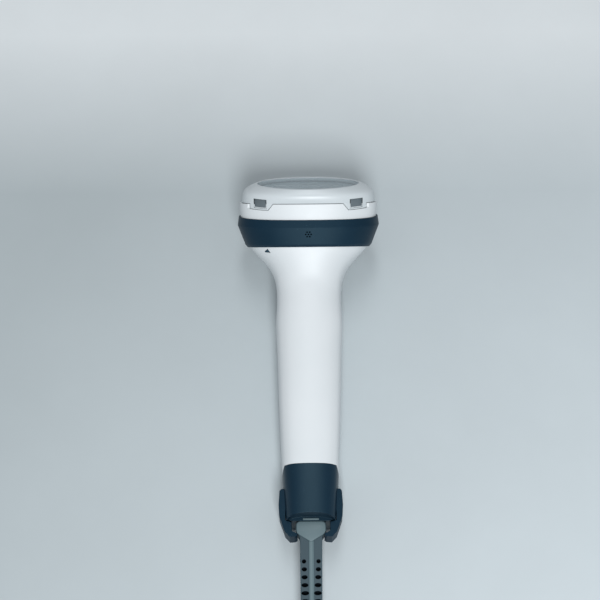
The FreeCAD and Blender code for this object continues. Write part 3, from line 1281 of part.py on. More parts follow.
node("illumination_board", in_head(head_box("light_plate", "light_board_width", "light_board_thick",
                                            "light_board_depth", 0, light_back,
                                            light_top - size("light_board_depth"))))
led_lift = light_top - size("light_board_depth") / 2
node("illumination_leds", in_head(grouped("light_group", [
    head_box("light_%d" % index, 3, 1.0, 3, (index - 1.5) * 8.4, light_front, led_lift - 1.5)
    for index in range(4)])))
lens_strip = head_box("lens_strip", size("light_board_width") - 2, "diffuser_thick", 5, 0,
                      light_front + 1.2, led_lift - 2.5)
strip_feet = [head_box("strip_foot_%d" % index, 1.2, 1.4, 4, side * (size("light_board_width") / 2 - 1.8),
                       light_front, led_lift - 2) for index, side in enumerate((-1, 1))]
node("light_strip", in_head(joined("light_strip_solid", [lens_strip] + strip_feet)))
buzzer_rod = cylinder("buzzer_rod", "buzzer_radius", "buzzer_thick", "0", "buzzer_along",
                      "root_depth / 2 - buzzer_skin - buzzer_thick")
node("buzzer", in_head(buzzer_rod))


def ribbon_shape(path, thick, width):
    """A bent strip: a path in the YZ plane, thickened to one side and drawn out across."""
    side = []
    for index, point in enumerate(path):
        before = path[max(index - 1, 0)]
        after = path[min(index + 1, len(path) - 1)]
        along = (after - before).normalize()
        side.append(point + Vector(0, along.z, -along.y) * thick)
    corners = path + side[::-1]
    face = Part.Face(Part.makePolygon(corners + corners[:1]))
    ribbon = face.extrude(Vector(width, 0, 0))
    ribbon.translate(Vector(-width / 2, 0, 0))
    return ribbon


def flex_shape():
    """From the back of the sensor board to its connector on the main board."""
    back = ENGINE_BACK - size("sensor_board_thick") - 0.32
    path = [HEAD.multVec(Vector(0, back, axis_lift + 3)), HEAD.multVec(Vector(0, back, axis_lift - 3)),
            HEAD.multVec(Vector(0, back - 1.0, axis_lift - 6)),
            Vector(0, BOARD_END + 2.5, BOARD_TOP + 5.0), Vector(0, BOARD_END - 1.0, BOARD_TOP + 1.6),
            Vector(0, BOARD_END - 3.0, BOARD_TOP + 1.2), Vector(0, FLEX_Y + 2.5, BOARD_TOP + 1.2)]
    return ribbon_shape(path, 0.3, 7.0)


freeform("engine_flex", flex_shape())
doc.recompute()

# ---------------------------------------------------------------- check and write
for obj in doc.Objects:
    if "Invalid" in obj.State or "Error" in obj.State:
        raise RuntimeError("failed: %s %s" % (obj.Name, obj.State))
os.makedirs("parts", exist_ok=True)
for obj in NODES:
    shape = obj.Shape
    if shape.isNull() or not shape.isValid() or not shape.Solids:
        raise RuntimeError("bad shape: " + obj.Label)
    print("%-20s solids %d volume %.1f" % (obj.Label, len(shape.Solids), shape.Volume))
for obj in NODES:
    obj.Shape.exportStep("parts/%s.step" % obj.Label)
print(len(NODES), "nodes")
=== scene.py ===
"""Handheld barcode scanner: materials, lead, strain relief, small hardware, floor, lights and camera."""
import math

import bmesh
import bpy
from mathutils import Matrix, Vector


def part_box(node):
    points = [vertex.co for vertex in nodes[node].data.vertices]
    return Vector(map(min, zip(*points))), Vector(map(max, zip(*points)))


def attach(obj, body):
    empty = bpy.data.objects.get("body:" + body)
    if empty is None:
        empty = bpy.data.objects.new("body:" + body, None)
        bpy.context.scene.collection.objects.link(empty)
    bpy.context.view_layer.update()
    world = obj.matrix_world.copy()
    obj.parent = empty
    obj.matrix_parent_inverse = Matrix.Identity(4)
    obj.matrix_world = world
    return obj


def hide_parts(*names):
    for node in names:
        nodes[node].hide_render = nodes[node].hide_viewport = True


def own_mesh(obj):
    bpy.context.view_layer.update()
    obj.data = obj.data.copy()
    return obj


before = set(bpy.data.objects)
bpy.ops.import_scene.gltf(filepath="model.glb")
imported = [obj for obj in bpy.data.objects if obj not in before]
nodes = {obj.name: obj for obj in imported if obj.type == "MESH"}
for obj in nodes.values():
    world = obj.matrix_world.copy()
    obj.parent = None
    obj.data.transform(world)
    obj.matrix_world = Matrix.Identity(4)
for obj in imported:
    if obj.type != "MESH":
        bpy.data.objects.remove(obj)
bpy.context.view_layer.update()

# Sizes and places are in millimetres from the part's origin, unless their name or comment says otherwise.
MM = 0.001


def in_metres(place):
    """A place in millimetres as a list in metres."""
    return [MM * part for part in place]


# ---------------------------------------------------------------- shader nodes
def new_group(name, inputs, outputs):
    """An empty shader group with its sockets; returns the group, its input node and its output node."""
    group = bpy.data.node_groups.new(name, "ShaderNodeTree")
    for kind, label, value in inputs:
        socket = group.interface.new_socket(name=label, in_out="INPUT", socket_type=kind)
        socket.default_value = value
    for kind, label in outputs:
        group.interface.new_socket(name=label, in_out="OUTPUT", socket_type=kind)
    return group, group.nodes.new("NodeGroupInput"), group.nodes.new("NodeGroupOutput")


def feed(tree, socket, value):
    """Puts a number, a colour or another node's output into a socket."""
    if isinstance(value, bpy.types.NodeSocket):
        tree.links.new(value, socket)
    elif isinstance(value, tuple):
        socket.default_value = (*value, 1.0)
    else:
        socket.default_value = value


def placed_group(tree, group, values):
    """A shader group in a material's tree, with its values."""
    node = tree.nodes.new("ShaderNodeGroup")
    node.node_tree = group
    for label, value in values.items():
        feed(tree, node.inputs[label], value)
    return node


def noise(tree, scale, detail=3.0, rough=0.55):
    """A noise texture's value on the piece's own coordinates, which are in metres."""
    place = tree.nodes.new("ShaderNodeTexCoord")
    texture = tree.nodes.new("ShaderNodeTexNoise")
    texture.inputs["Detail"].default_value = detail
    texture.inputs["Roughness"].default_value = rough
    tree.links.new(place.outputs["Object"], texture.inputs["Vector"])
    feed(tree, texture.inputs["Scale"], scale)
    return texture.outputs["Fac"]


def spread(tree, value, low, high):
    """Maps a value from a range to 0 to 1, clamped."""
    ranged = tree.nodes.new("ShaderNodeMapRange")
    ranged.inputs["From Min"].default_value = low
    ranged.inputs["From Max"].default_value = high
    tree.links.new(value, ranged.inputs["Value"])
    return ranged.outputs["Result"]


def mixed(tree, factor, first, second, blend="MIX"):
    """A colour mix whose inputs are sockets, numbers or colours."""
    mix = tree.nodes.new("ShaderNodeMix")
    mix.data_type = "RGBA"
    mix.blend_type = blend
    feed(tree, mix.inputs["Factor"], factor)
    feed(tree, mix.inputs[6], first)
    feed(tree, mix.inputs[7], second)
    return mix.outputs[2]


def computed(tree, operation, *values):
    """The result of a sum whose inputs are sockets or numbers."""
    node = tree.nodes.new("ShaderNodeMath")
    node.operation = operation
    for socket, value in zip(node.inputs, values):
        feed(tree, socket, value)
    return node.outputs[0]


def moulded_tone():
    """Colour and roughness of a moulded surface: slow drift, fine mottle and specks of dust."""
    drift_scale, speck_scale, mottle_scale = 38.0, 1900.0, 260.0
    group, given, result = new_group(
        "moulded tone",
        [("NodeSocketColor", "Colour", (0.8, 0.8, 0.8, 1)), ("NodeSocketColor", "Shade", (0.7, 0.7, 0.7, 1)),
         ("NodeSocketColor", "Speck", (1, 1, 1, 1)), ("NodeSocketFloat", "Speck amount", 0.2),
         ("NodeSocketFloat", "Roughness", 0.4), ("NodeSocketFloat", "Roughness drift", 0.08)],
        [("NodeSocketColor", "Colour"), ("NodeSocketFloat", "Roughness")])
    drift = spread(group, noise(group, drift_scale), 0.32, 0.68)
    base = mixed(group, drift, given.outputs["Shade"], given.outputs["Colour"])
    specks = spread(group, noise(group, speck_scale, 1.0), 0.70, 0.78)
    amount = computed(group, "MULTIPLY", specks, given.outputs["Speck amount"])
    group.links.new(mixed(group, amount, base, given.outputs["Speck"]), result.inputs["Colour"])
    mottle = computed(group, "SUBTRACT", noise(group, mottle_scale, 4.0), 0.5)
    uneven = computed(group, "MULTIPLY_ADD", mottle, given.outputs["Roughness drift"],
                      given.outputs["Roughness"])
    group.links.new(uneven, result.inputs["Roughness"])
    return group


def moulded_skin():
    """Normal of a moulded surface: softened edges under a fine grain."""
    edge_radius, grain_height = 0.25, 0.02
    group, given, result = new_group(
        "moulded skin",
        [("NodeSocketFloat", "Grain scale", 3000.0), ("NodeSocketFloat", "Grain depth", 0.1)],
        [("NodeSocketVector", "Normal")])
    edge = group.nodes.new("ShaderNodeBevel")
    edge.samples = 4
    edge.inputs["Radius"].default_value = edge_radius * MM
    bump = group.nodes.new("ShaderNodeBump")
    bump.inputs["Distance"].default_value = grain_height * MM
    group.links.new(given.outputs["Grain depth"], bump.inputs["Strength"])
    group.links.new(noise(group, given.outputs["Grain scale"], 2.0), bump.inputs["Height"])
    group.links.new(edge.outputs["Normal"], bump.inputs["Normal"])
    group.links.new(bump.outputs["Normal"], result.inputs["Normal"])
    return group


TONE = moulded_tone()
SKIN = moulded_skin()


def moulded(name, colour, shade, rough, speck=(1, 1, 1), specks=0.0, drift=0.08, grain=3000.0, depth=0.1,
            **settings):
    """A moulded plastic, rubber or metal with its own tone and grain."""
    material = bpy.data.materials.new(name)
    material.use_nodes = True
    tree = material.node_tree
    shader = tree.nodes["Principled BSDF"]
    tone = placed_group(tree, TONE, {"Colour": colour, "Shade": shade, "Speck": speck, "Speck amount": specks,
                                     "Roughness": rough, "Roughness drift": drift})
    skin = placed_group(tree, SKIN, {"Grain scale": grain, "Grain depth": depth})
    tree.links.new(tone.outputs["Colour"], shader.inputs["Base Color"])
    tree.links.new(tone.outputs["Roughness"], shader.inputs["Roughness"])
    tree.links.new(skin.outputs["Normal"], shader.inputs["Normal"])
    for socket, value in settings.items():
        shader.inputs[socket.replace("_", " ")].default_value = value
    return material


# ---------------------------------------------------------------- materials
WHITE_SPECK = (0.6, 0.6, 0.6)
NAVY_SPECK = (0.06, 0.13, 0.18)
NAVY_SHEEN = (0.6, 0.9, 1.0, 1)
NAVY, NAVY_SHADE = (0.0042, 0.0190, 0.0380), (0.0032, 0.0160, 0.0315)

housing_white = moulded("housing white", (0.735, 0.760, 0.775), (0.710, 0.740, 0.755), 0.42, WHITE_SPECK,
                        0.06)
# The nose cap's white is darker than the housing's as painted shade.
cap_white_shaded = moulded("cap white painted shade", (0.640, 0.680, 0.700), (0.615, 0.660, 0.680), 0.36, WHITE_SPECK, 0.06)
# The hooks' dark grey is painted shade for the recesses of the tab windows.
hook_grey_shaded = moulded("hook plastic painted shade", (0.130, 0.155, 0.170), (0.14, 0.17, 0.19), 0.5)
rubber_navy = moulded("bumper rubber", (0.0040, 0.0200, 0.0400), (0.0030, 0.0165, 0.0330), 0.50, NAVY_SPECK,
                      0.3, grain=2200.0, depth=0.25, Specular_IOR_Level=0.3, Specular_Tint=NAVY_SHEEN)
plastic_navy = moulded("foot plastic", NAVY, NAVY_SHADE, 0.40, NAVY_SPECK, 0.2, grain=2600.0, depth=0.18,
                       Specular_IOR_Level=0.42, Specular_Tint=NAVY_SHEEN)
latch_navy = moulded("latch plastic", NAVY, NAVY_SHADE, 0.5, NAVY_SPECK, 0.2, grain=2600.0, depth=0.18,
                     Specular_IOR_Level=0.2, Specular_Tint=NAVY_SHEEN)
vinyl_grey = moulded("lead vinyl", (0.132, 0.190, 0.208), (0.112, 0.165, 0.182), 0.42, (0.3, 0.33, 0.35), 0.2)
# A darker copy of the lead's vinyl for the relief's boot: painted shade on its stem and head.
boot_vinyl_shaded = moulded("boot vinyl with painted shade", (0.053, 0.084, 0.101), (0.045, 0.073, 0.089), 0.48, (0.24, 0.27, 0.29),
                     0.2, Specular_IOR_Level=0.3)
# Near-black painted shade for the walls of the relief's slots.
slot_painted_shade = moulded("slot wall painted shade", (0.010, 0.018, 0.026), (0.007, 0.013, 0.020), 0.7, Specular_IOR_Level=0.1)
gasket_black = moulded("gasket foam", (0.02, 0.022, 0.024), (0.012, 0.013, 0.015), 0.75, depth=0.4)
strap_black = moulded("strap weave", (0.022, 0.024, 0.028), (0.012, 0.013, 0.016), 0.85, depth=0.5)
pin_dark = moulded("blackened pin", (0.030, 0.033, 0.038), (0.020, 0.022, 0.026), 0.35, Metallic=1.0)
steel = moulded("plated steel", (0.62, 0.63, 0.64), (0.50, 0.51, 0.53), 0.28, Metallic=1.0)
gilt = moulded("contact gilt", (0.80, 0.60, 0.25), (0.70, 0.50, 0.20), 0.25, Metallic=1.0)
board_green = moulded("solder mask", (0.010, 0.115, 0.050), (0.008, 0.080, 0.038), 0.30)
chip_black = moulded("moulded chip", (0.020, 0.021, 0.023), (0.014, 0.015, 0.017), 0.55)
part_pale = moulded("pale moulding", (0.62, 0.60, 0.53), (0.52, 0.50, 0.44), 0.45)
flex_amber = moulded("flex film", (0.42, 0.17, 0.025), (0.34, 0.12, 0.018), 0.25)
window_clear = moulded("window acrylic", (0.76, 0.90, 0.97), (0.73, 0.87, 0.94), 0.04, drift=0.01, depth=0.0,
                       Alpha=0.37, Specular_IOR_Level=1.0)
pipe_clear = moulded("light pipe acrylic", (0.90, 0.94, 0.95), (0.873, 0.9118, 0.9215), 0.12, drift=0.01,
                     depth=0.0, Transmission_Weight=1.0, IOR=1.49)

# The CAD nodes that show; the pieces made further down bring their own material.
FINISHES = {
    housing_white: ["front_shell", "back_shell"],
    cap_white_shaded: ["nose_cap"],
    rubber_navy: ["head_bumper"],
    plastic_navy: ["foot_cover", "trigger_key"],
    latch_navy: ["latch_left", "latch_right"],
    hook_grey_shaded: ["snap_hooks"],
    window_clear: ["window"],
    pipe_clear: ["objective_lens", "light_pipe", "light_strip"],
    gasket_black: ["window_gasket"],
    steel: ["trigger_pin", "board_screws", "engine_screws"],
    pin_dark: ["latch_pins"],
    board_green: ["main_board", "sensor_board", "illumination_board"],
    chip_black: ["decoder_chip", "memory_chip", "power_coil", "trigger_switch", "image_sensor",
                 "engine_chassis", "lens_barrel", "engine_cradle", "buzzer", "cable_jack"],
    part_pale: ["board_capacitors", "flex_connector", "illumination_leds", "status_leds", "cable_plug",
                "usb_plug_tongue"],
    flex_amber: ["engine_flex"],
}


def finish_with(piece, material):
    """Gives a piece one material."""
    piece.data.materials.clear()
    piece.data.materials.append(material)


for material, names in FINISHES.items():
    for name in names:
        finish_with(nodes[name], material)

# ---------------------------------------------------------------- camera
VIEW_DOWN = math.radians(66.0)
VIEW_DISTANCE = 573 * MM
VIEW_TARGET = Vector((0, 98 * MM, 24 * MM))
VIEW_ROLL = math.radians(-0.5)
VIEW_ANGLE = math.radians(28.0)
VIEW_SHIFT = -0.0150
lens = bpy.data.cameras.new("camera")
lens.angle = VIEW_ANGLE
lens.shift_x = VIEW_SHIFT
lens.clip_start = 0.01
camera = bpy.data.objects.new("camera", lens)
bpy.context.scene.collection.objects.link(camera)
toward = Vector((0, math.cos(VIEW_DOWN), -math.sin(VIEW_DOWN)))
camera.location = VIEW_TARGET - VIEW_DISTANCE * toward
camera.rotation_euler = (Matrix.Rotation(math.pi / 2 - VIEW_DOWN, 3, "X")
                         @ Matrix.Rotation(VIEW_ROLL, 3, "Z")).to_euler()
bpy.context.scene.camera = camera

# ---------------------------------------------------------------- lead
CORD_RADIUS = 2.1
EXIT = (0.0, -62.2, 13.6)
COIL = (-8.0, -124.2)
LOW_TURN = 2.9
LEAD_IN = [EXIT, (0.0, -74.2, 13.6), (1.5, -87.2, 7.2), (7.5, -99.2, 2.3), (14.0, -110.5, LOW_TURN),
           (16.0, -121.5, LOW_TURN)]
LEAD_OUT = [(20.2, -128.2, 7.1), (20.0, -140.0, 6.2), (18.0, -152.0, 4.1), (18.0, -163.0, 4.1)]
STEPS_PER_TURN = 18
MIDDLE_RADIUS = 24.0
# Row and layer of the lead at the start of each turn and at the coil's end.
TURN_PLACES = [(1, 0), (0, 0), (0, 1), (0, 2), (0, 3), (0, 4), (1, 4), (2, 4), (2, 3), (1, 3), (1, 2), (2, 2),
               (2, 1)]
# Shares of a turn: where the lead crosses over to its next place, how much earlier it does so in each later
# turn, and how long that takes.
CROSSING = 0.84
CROSSING_DRIFT = 0.015
CROSSING_LENGTH = 0.14


def eased(value):
    """0 to 1 with soft ends."""
    value = min(max(value, 0.0), 1.0)
    return value * value * (3 - 2 * value)


def coil_points():
    """Turns of the coil, clockwise; each changes its place under the strap."""
    points = []
    turns = len(TURN_PLACES) - 1
    for step in range(1, turns * STEPS_PER_TURN):
        turned = step / STEPS_PER_TURN
        place = sum(eased((turned - turn - CROSSING + CROSSING_DRIFT * turn) / CROSSING_LENGTH + 0.5)
                    for turn in range(turns))
        low = min(int(place), turns - 1)
        part = place - low
        row, layer = [(1 - part) * a + part * b for a, b in zip(TURN_PLACES[low], TURN_PLACES[low + 1])]
        radius = (MIDDLE_RADIUS + (row - 1) * 2 * CORD_RADIUS) / math.cos(math.pi / STEPS_PER_TURN) ** 0.5
        angle = -2 * math.pi * turned
        points.append((COIL[0] + radius * math.cos(angle), COIL[1] + radius * math.sin(angle),
                       LOW_TURN + layer * 2 * CORD_RADIUS))
    return points


def lead_cord():
    """The whole lead, from the strain relief through the coil to the USB plug."""
    route = LEAD_IN + coil_points() + LEAD_OUT
    curve = bpy.data.curves.new("lead_cord", "CURVE")
    curve.dimensions = "3D"
    spline = curve.splines.new("NURBS")
    spline.points.add(len(route) - 1)
    for point, place in zip(spline.points, route):
        point.co = (*in_metres(place), 1)
    spline.order_u = 3
    spline.use_endpoint_u = True
    spline.resolution_u = 4
    curve.bevel_depth = CORD_RADIUS * MM
    curve.bevel_resolution = 4
    curve.use_fill_caps = True
    piece = bpy.data.objects.new("lead_cord", curve)
    bpy.context.scene.collection.objects.link(piece)
    return fitted(piece, vinyl_grey, "relief_grey", "cable", "cable_coil", "cable_tail")


# ---------------------------------------------------------------- modelling by hand
def chosen(piece):
    """Makes one piece the only selected and active one; None selects nothing."""
    if bpy.context.mode != "OBJECT":
        bpy.ops.object.mode_set(mode="OBJECT")
    bpy.ops.object.select_all(action="DESELECT")
    if piece:
        piece.select_set(True)
        bpy.context.view_layer.objects.active = piece


def started(name):
    """Names the active piece and puts its place into its mesh."""
    piece = bpy.context.active_object
    piece.name = name
    piece.data.name = name
    bpy.ops.object.transform_apply(location=True, rotation=True, scale=True)
    return piece


def block(name, low, high):
    """A box between two corners."""
    chosen(None)
    bpy.ops.mesh.primitive_cube_add(size=1, location=[MM * (a + b) / 2 for a, b in zip(low, high)],
                                    scale=[MM * (b - a) for a, b in zip(low, high)])
    return started(name)


def rod(name, radius, length, start, direction, sides=32, tip=None):
    """A cylinder, or a cone where it has a tip radius, from a start point along a direction."""
    chosen(None)
    axis = Vector(direction).normalized()
    bpy.ops.mesh.primitive_cone_add(vertices=sides, radius1=MM * radius,
                                    radius2=MM * (radius if tip is None else tip),
                                    depth=MM * length, location=MM * (Vector(start) + axis * length / 2),
                                    rotation=axis.to_track_quat("Z", "Y").to_euler())
    return started(name)


def pick_faces(piece, test=lambda centre, normal: True):
    """Selects in edit mode the faces whose centre, in millimetres, and normal pass a test."""
    chosen(piece)
    bpy.ops.object.mode_set(mode="EDIT")
    bpy.ops.mesh.select_mode(type="FACE")
    bpy.ops.mesh.select_all(action="DESELECT")
    mesh = bmesh.from_edit_mesh(piece.data)
    for face in mesh.faces:
        face.select_set(bool(test(face.calc_center_median() / MM, face.normal)))
    bmesh.update_edit_mesh(piece.data)


def pick_edges(piece, test):
    """Selects in edit mode the edges whose middle, in millimetres, and direction pass a test."""
    chosen(piece)
    bpy.ops.object.mode_set(mode="EDIT")
    bpy.ops.mesh.select_mode(type="EDGE")
    bpy.ops.mesh.select_all(action="DESELECT")
    mesh = bmesh.from_edit_mesh(piece.data)
    for edge in mesh.edges:
        first, second = (corner.co / MM for corner in edge.verts)
        edge.select_set(bool(test((first + second) / 2, (second - first).normalized())))
    bmesh.update_edit_mesh(piece.data)


def resized(scale, about):
    """Scales what is selected about a point."""
    bpy.ops.transform.resize(value=scale, center_override=in_metres(about))


def drawn_out(offset, scale, about):
    """Extrudes the selected faces by an offset and scales their end about a point."""
    bpy.ops.mesh.extrude_region_move(TRANSFORM_OT_translate={"value": in_metres(offset)})
    resized(scale, about)


def edge_bevel(width, segments):
    """Rounds the selected edges."""
    bpy.ops.mesh.bevel(offset=MM * width, segments=segments, affect="EDGES")


def cut_across(piece, point, normal, keep_side=None):
    """Bisects a whole piece with a plane; keep_side is the side of the normal to keep, or None for both."""
    chosen(piece)
    bpy.ops.object.mode_set(mode="EDIT")
    bpy.ops.mesh.select_all(action="SELECT")
    bpy.ops.mesh.bisect(plane_co=in_metres(point), plane_no=normal, use_fill=keep_side is not None,
                        clear_inner=keep_side == 1, clear_outer=keep_side == -1)


def applied(piece, kind, **settings):
    """Adds a modifier and applies it."""
    chosen(piece)
    modifier = piece.modifiers.new(kind.lower(), kind)
    for setting, value in settings.items():
        setattr(modifier, setting, value)
    bpy.ops.object.modifier_apply(modifier=modifier.name)


def rounded(piece, width, segments=3, angle=30):
    """Bevels every edge sharper than an angle in degrees."""
    applied(piece, "BEVEL", width=MM * width, segments=segments, limit_method="ANGLE",
            angle_limit=math.radians(angle), harden_normals=False)


def copied(piece, name, offset, scale=None, about=None):
    """A copy with its own mesh, moved by an offset after an optional scale about a point."""
    chosen(piece)
    bpy.ops.object.duplicate(linked=False)
    twin = bpy.context.active_object
    twin.name = name
    bpy.ops.object.mode_set(mode="EDIT")
    bpy.ops.mesh.select_all(action="SELECT")
    if scale:
        resized(scale, about)
    bpy.ops.transform.translate(value=in_metres(offset))
    bpy.ops.object.mode_set(mode="OBJECT")
    return twin


def together(pieces):
    """Joins pieces into the first one."""
    chosen(pieces[0])
    for piece in pieces[1:]:
        piece.select_set(True)
    bpy.ops.object.join()
    return pieces[0]


def hollowed(piece, cutter):
    """Cuts one piece out of another and drops the cutter."""
    applied(piece, "BOOLEAN", object=cutter, operation="DIFFERENCE", solver="EXACT")
    chosen(cutter)
    bpy.ops.object.delete()


def smooth(piece, degrees=35):
    """Smooth shading with sharp edges kept."""
    chosen(piece)
    bpy.ops.object.shade_smooth_by_angle(angle=math.radians(degrees))


def fitted(piece, material, slot, *stands_for):
    """Gives a finished piece its material, unless that is None, and hides the nodes that it stands for; the
    slot is not used.
    """
    if material:
        finish_with(piece, material)
    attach(piece, "housing")
    if stands_for:
        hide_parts(*stands_for)
    return piece


# ---------------------------------------------------------------- strain relief
AXIS_Z = EXIT[2]
TEE_HALF = 6.8
TEE_UP, TEE_DOWN = 4.8, 5.0
TEE_END = -14.0
TEE_SHOULDER = -11.4
PLUG_FACE = -7.0
STEM_HALF = 4.95
# Shares that the stem keeps of the head's depth, and its tip of the stem's width.
STEM_DEPTH = 0.84
STEM_TAPER = 0.91
RIDGE_HALF, RIDGE_FOOT = 0.6, 1.0
RIDGE_RISE = 1.1
PLATE_HALF = 6.45
PLATE_POINT, PLATE_CORNER, PLATE_BACK = -16.5, -12.4, -7.3
FLANGE_HALF = 3.6
FLANGE_FRONT, FLANGE_BACK = -6.7, -5.8
SLOT_PITCH = 3.45
FIRST_SLOT = -24.9
SLOT_ROWS = 11
ROWS_THAT_GROW = 4
SLOT_WIDTH, SLOT_GROWTH = 1.9, 1.5
SLOT_LENGTH = 1.85
SLOT_OUT, SLOT_INWARD = 3.2, 0.45
SLOT_FLOOR, SLOT_REACH = 1.2, 4.4
# Of the relief's three materials, the first is painted shade on the boot and the last is painted shade in the
# slots.
RELIEF_MATERIALS = (boot_vinyl_shaded, vinyl_grey, slot_painted_shade)


def painted(piece, material, test=lambda centre, normal: True):
    """Gives the faces that pass a test one of the relief's materials."""
    pick_faces(piece, test)
    piece.active_material_index = RELIEF_MATERIALS.index(material)
    bpy.ops.object.material_slot_assign()


def relief_slots():
    """Cutters for the slots in both faces of the stem: small near the head, larger towards the tip."""
    slots = []
    for row in range(SLOT_ROWS):
        grown = min(row / ROWS_THAT_GROW, 1.0)
        width = SLOT_WIDTH + SLOT_GROWTH * grown
        for side in (-1, 1):
            centre = (side * (SLOT_OUT - SLOT_INWARD * grown), FIRST_SLOT - SLOT_PITCH * row, AXIS_Z)
            if slots:
                shift = [a - b for a, b in zip(centre, first)]
                slots.append(copied(slots[0], "relief_slot", shift, (width / first_width, 1, 1), first))
            else:
                first, first_width = centre, width
                slots.append(rod("relief_slot", 0.5, SLOT_REACH, (centre[0], centre[1], AXIS_Z + SLOT_FLOOR),
                                 (0, 0, 1), 20))
                pick_faces(slots[0])
                resized((width, SLOT_LENGTH, 1), centre)
    under = [copied(slot, "relief_slot", (0, 0, -2 * SLOT_FLOOR - SLOT_REACH)) for slot in slots]
    return together(slots + under)


def relief_boot():
    """Moulded strain relief: T-shaped head with a pointed front plate, and a ridged stem with slots."""
    boot = block("relief_boot", (-TEE_HALF, TEE_SHOULDER, AXIS_Z - TEE_DOWN),
                 (TEE_HALF, PLUG_FACE, AXIS_Z + TEE_UP))
    pick_faces(boot, lambda centre, normal: normal.y < -0.9)
    drawn_out((0, TEE_END - TEE_SHOULDER, 0), (STEM_HALF / TEE_HALF, 1, STEM_DEPTH), (0, TEE_END, AXIS_Z))
    drawn_out((0, EXIT[1] - TEE_END, 0), (STEM_TAPER, 1, 1.0), (0, EXIT[1], AXIS_Z))
    pick_edges(boot, lambda middle, along: abs(along.z) > 0.9 and middle.y > TEE_SHOULDER + 1)
    edge_bevel(1.9, 5)
    for side in (-1, 1):
        for place in (RIDGE_HALF, RIDGE_FOOT):
            cut_across(boot, (side * place, 0, 0), (1, 0, 0))
    for material in RELIEF_MATERIALS:
        boot.data.materials.append(material)
    # The ridge strip keeps the lead's lighter vinyl; the rest of the boot keeps its darker painted shade.
    painted(boot, vinyl_grey, lambda centre, normal: abs(centre.x) < RIDGE_FOOT - 0.1 and abs(normal.z) > 0.8
            and EXIT[1] < centre.y < TEE_END)
    pick_faces(boot, lambda centre, normal: abs(centre.x) < RIDGE_HALF - 0.1 and abs(normal.z) > 0.8
               and EXIT[1] < centre.y < TEE_END)
    resized((1, 1, RIDGE_RISE), (0, 0, AXIS_Z))
    rounded(boot, 0.6, 3, 40)
    cutter = relief_slots()
    for material in RELIEF_MATERIALS:
        cutter.data.materials.append(material)
    # The cut faces of the slots are painted near-black: painted shade inside the slots.
    painted(cutter, slot_painted_shade)
    hollowed(boot, cutter)
    plate = block("relief_plate", (-PLATE_HALF, PLATE_POINT, AXIS_Z + 3.6),
                  (PLATE_HALF, PLATE_BACK, AXIS_Z + 5.0))
    for side in (-1, 1):
        cut_across(plate, (side * PLATE_HALF, PLATE_CORNER, 0), (side * 0.53, -0.85, 0), -1)
    pick_edges(plate, lambda middle, along: abs(along.z) > 0.9 and middle.y > -10)
    edge_bevel(1.7, 5)
    rounded(plate, 0.3, 3, 40)
    finish_with(plate, vinyl_grey)
    flange = block("relief_flange", (-FLANGE_HALF, FLANGE_FRONT, AXIS_Z + 4.4),
                   (FLANGE_HALF, FLANGE_BACK, AXIS_Z + 5.1))
    rounded(flange, 0.2, 2)
    finish_with(flange, vinyl_grey)
    whole = together([boot, plate, flange])
    smooth(whole)
    return fitted(whole, None, "relief_grey", "strain_relief")


# ---------------------------------------------------------------- USB plug
USB_X = 18.0
USB_Z = 4.1
USB_END = -163.0
USB_GRIP_END = -193.0
USB_TIP = -207.0
GRIP_HALF = 7.8
RIB_HALF = 4.2
FIRST_RIB, RIB_LENGTH, RIB_PITCH, RIBS = -171.0, 0.9, 2.3, 7
# How far the top of a rib, and its foot in the panel, lie under the grip's face.
RIB_SUNK, RIB_ROOT = 0.12, 0.75
SLEEVE_LENGTH, SLEEVE_RADIUS, SLEEVE_TIP_RADIUS = 6.0, 3.5, 2.7
SLEEVE_IN_GRIP = 0.4
SLEEVE_GROOVES = ((1.6, 2.4), (3.6, 4.4))
GROOVE_DEPTH = 0.45
SHELL_HALF, SHELL_HALF_HEIGHT = 6.0, 2.25
SHEET = 0.35
WINDOW_NEAR, WINDOW_FAR = 1.2, 3.6
WINDOW_FROM_TIP, WINDOW_TO_TIP = 4.2, 6.6
CONTACT_TOP = 4.15
CONTACT_PITCH = 2.33


def usb_grip():
    """Moulded grip with a sunk, ribbed panel on both faces and a short ringed sleeve round the lead."""
    face_z = 2 * USB_Z
    grip = block("usb_grip", (USB_X - GRIP_HALF, USB_GRIP_END, 0.0), (USB_X + GRIP_HALF, USB_END, face_z))
    rounded(grip, 1.6, 4)
    for face in (-1, 1):
        pick_faces(grip, lambda centre, normal: normal.z * face > 0.99)
        bpy.ops.mesh.inset(thickness=MM * 2.0, depth=0)
        drawn_out((0, 0, -face * 0.5), (0.97, 0.985, 1), (USB_X, (USB_END + USB_GRIP_END) / 2, 0))
    rib = block("usb_rib", (USB_X - RIB_HALF, FIRST_RIB, face_z - RIB_ROOT),
                (USB_X + RIB_HALF, FIRST_RIB + RIB_LENGTH, face_z - RIB_SUNK))
    rounded(rib, 0.2, 2)
    to_other_face = -(face_z - RIB_ROOT - RIB_SUNK)
    ribs = [rib] + [copied(rib, "usb_rib", (0, -RIB_PITCH * step, 0)) for step in range(1, RIBS)]
    ribs += [copied(rib, "usb_rib", (0, -RIB_PITCH * step, to_other_face)) for step in range(RIBS)]
    sleeve = rod("usb_sleeve", SLEEVE_RADIUS, SLEEVE_LENGTH, (USB_X, USB_END - SLEEVE_IN_GRIP, USB_Z),
                 (0, 1, 0), 32, SLEEVE_TIP_RADIUS)
    for groove in SLEEVE_GROOVES:
        for place in groove:
            cut_across(sleeve, (0, USB_END + place, 0), (0, 1, 0))
    for low, high in SLEEVE_GROOVES:
        pick_faces(sleeve, lambda centre, normal: low < centre.y - USB_END < high)
        bpy.ops.mesh.extrude_region_shrink_fatten(TRANSFORM_OT_shrink_fatten={"value": -GROOVE_DEPTH * MM})
    whole = together([grip, sleeve] + ribs)
    smooth(whole)
    return fitted(whole, vinyl_grey, "relief_grey", "usb_plug_grip")


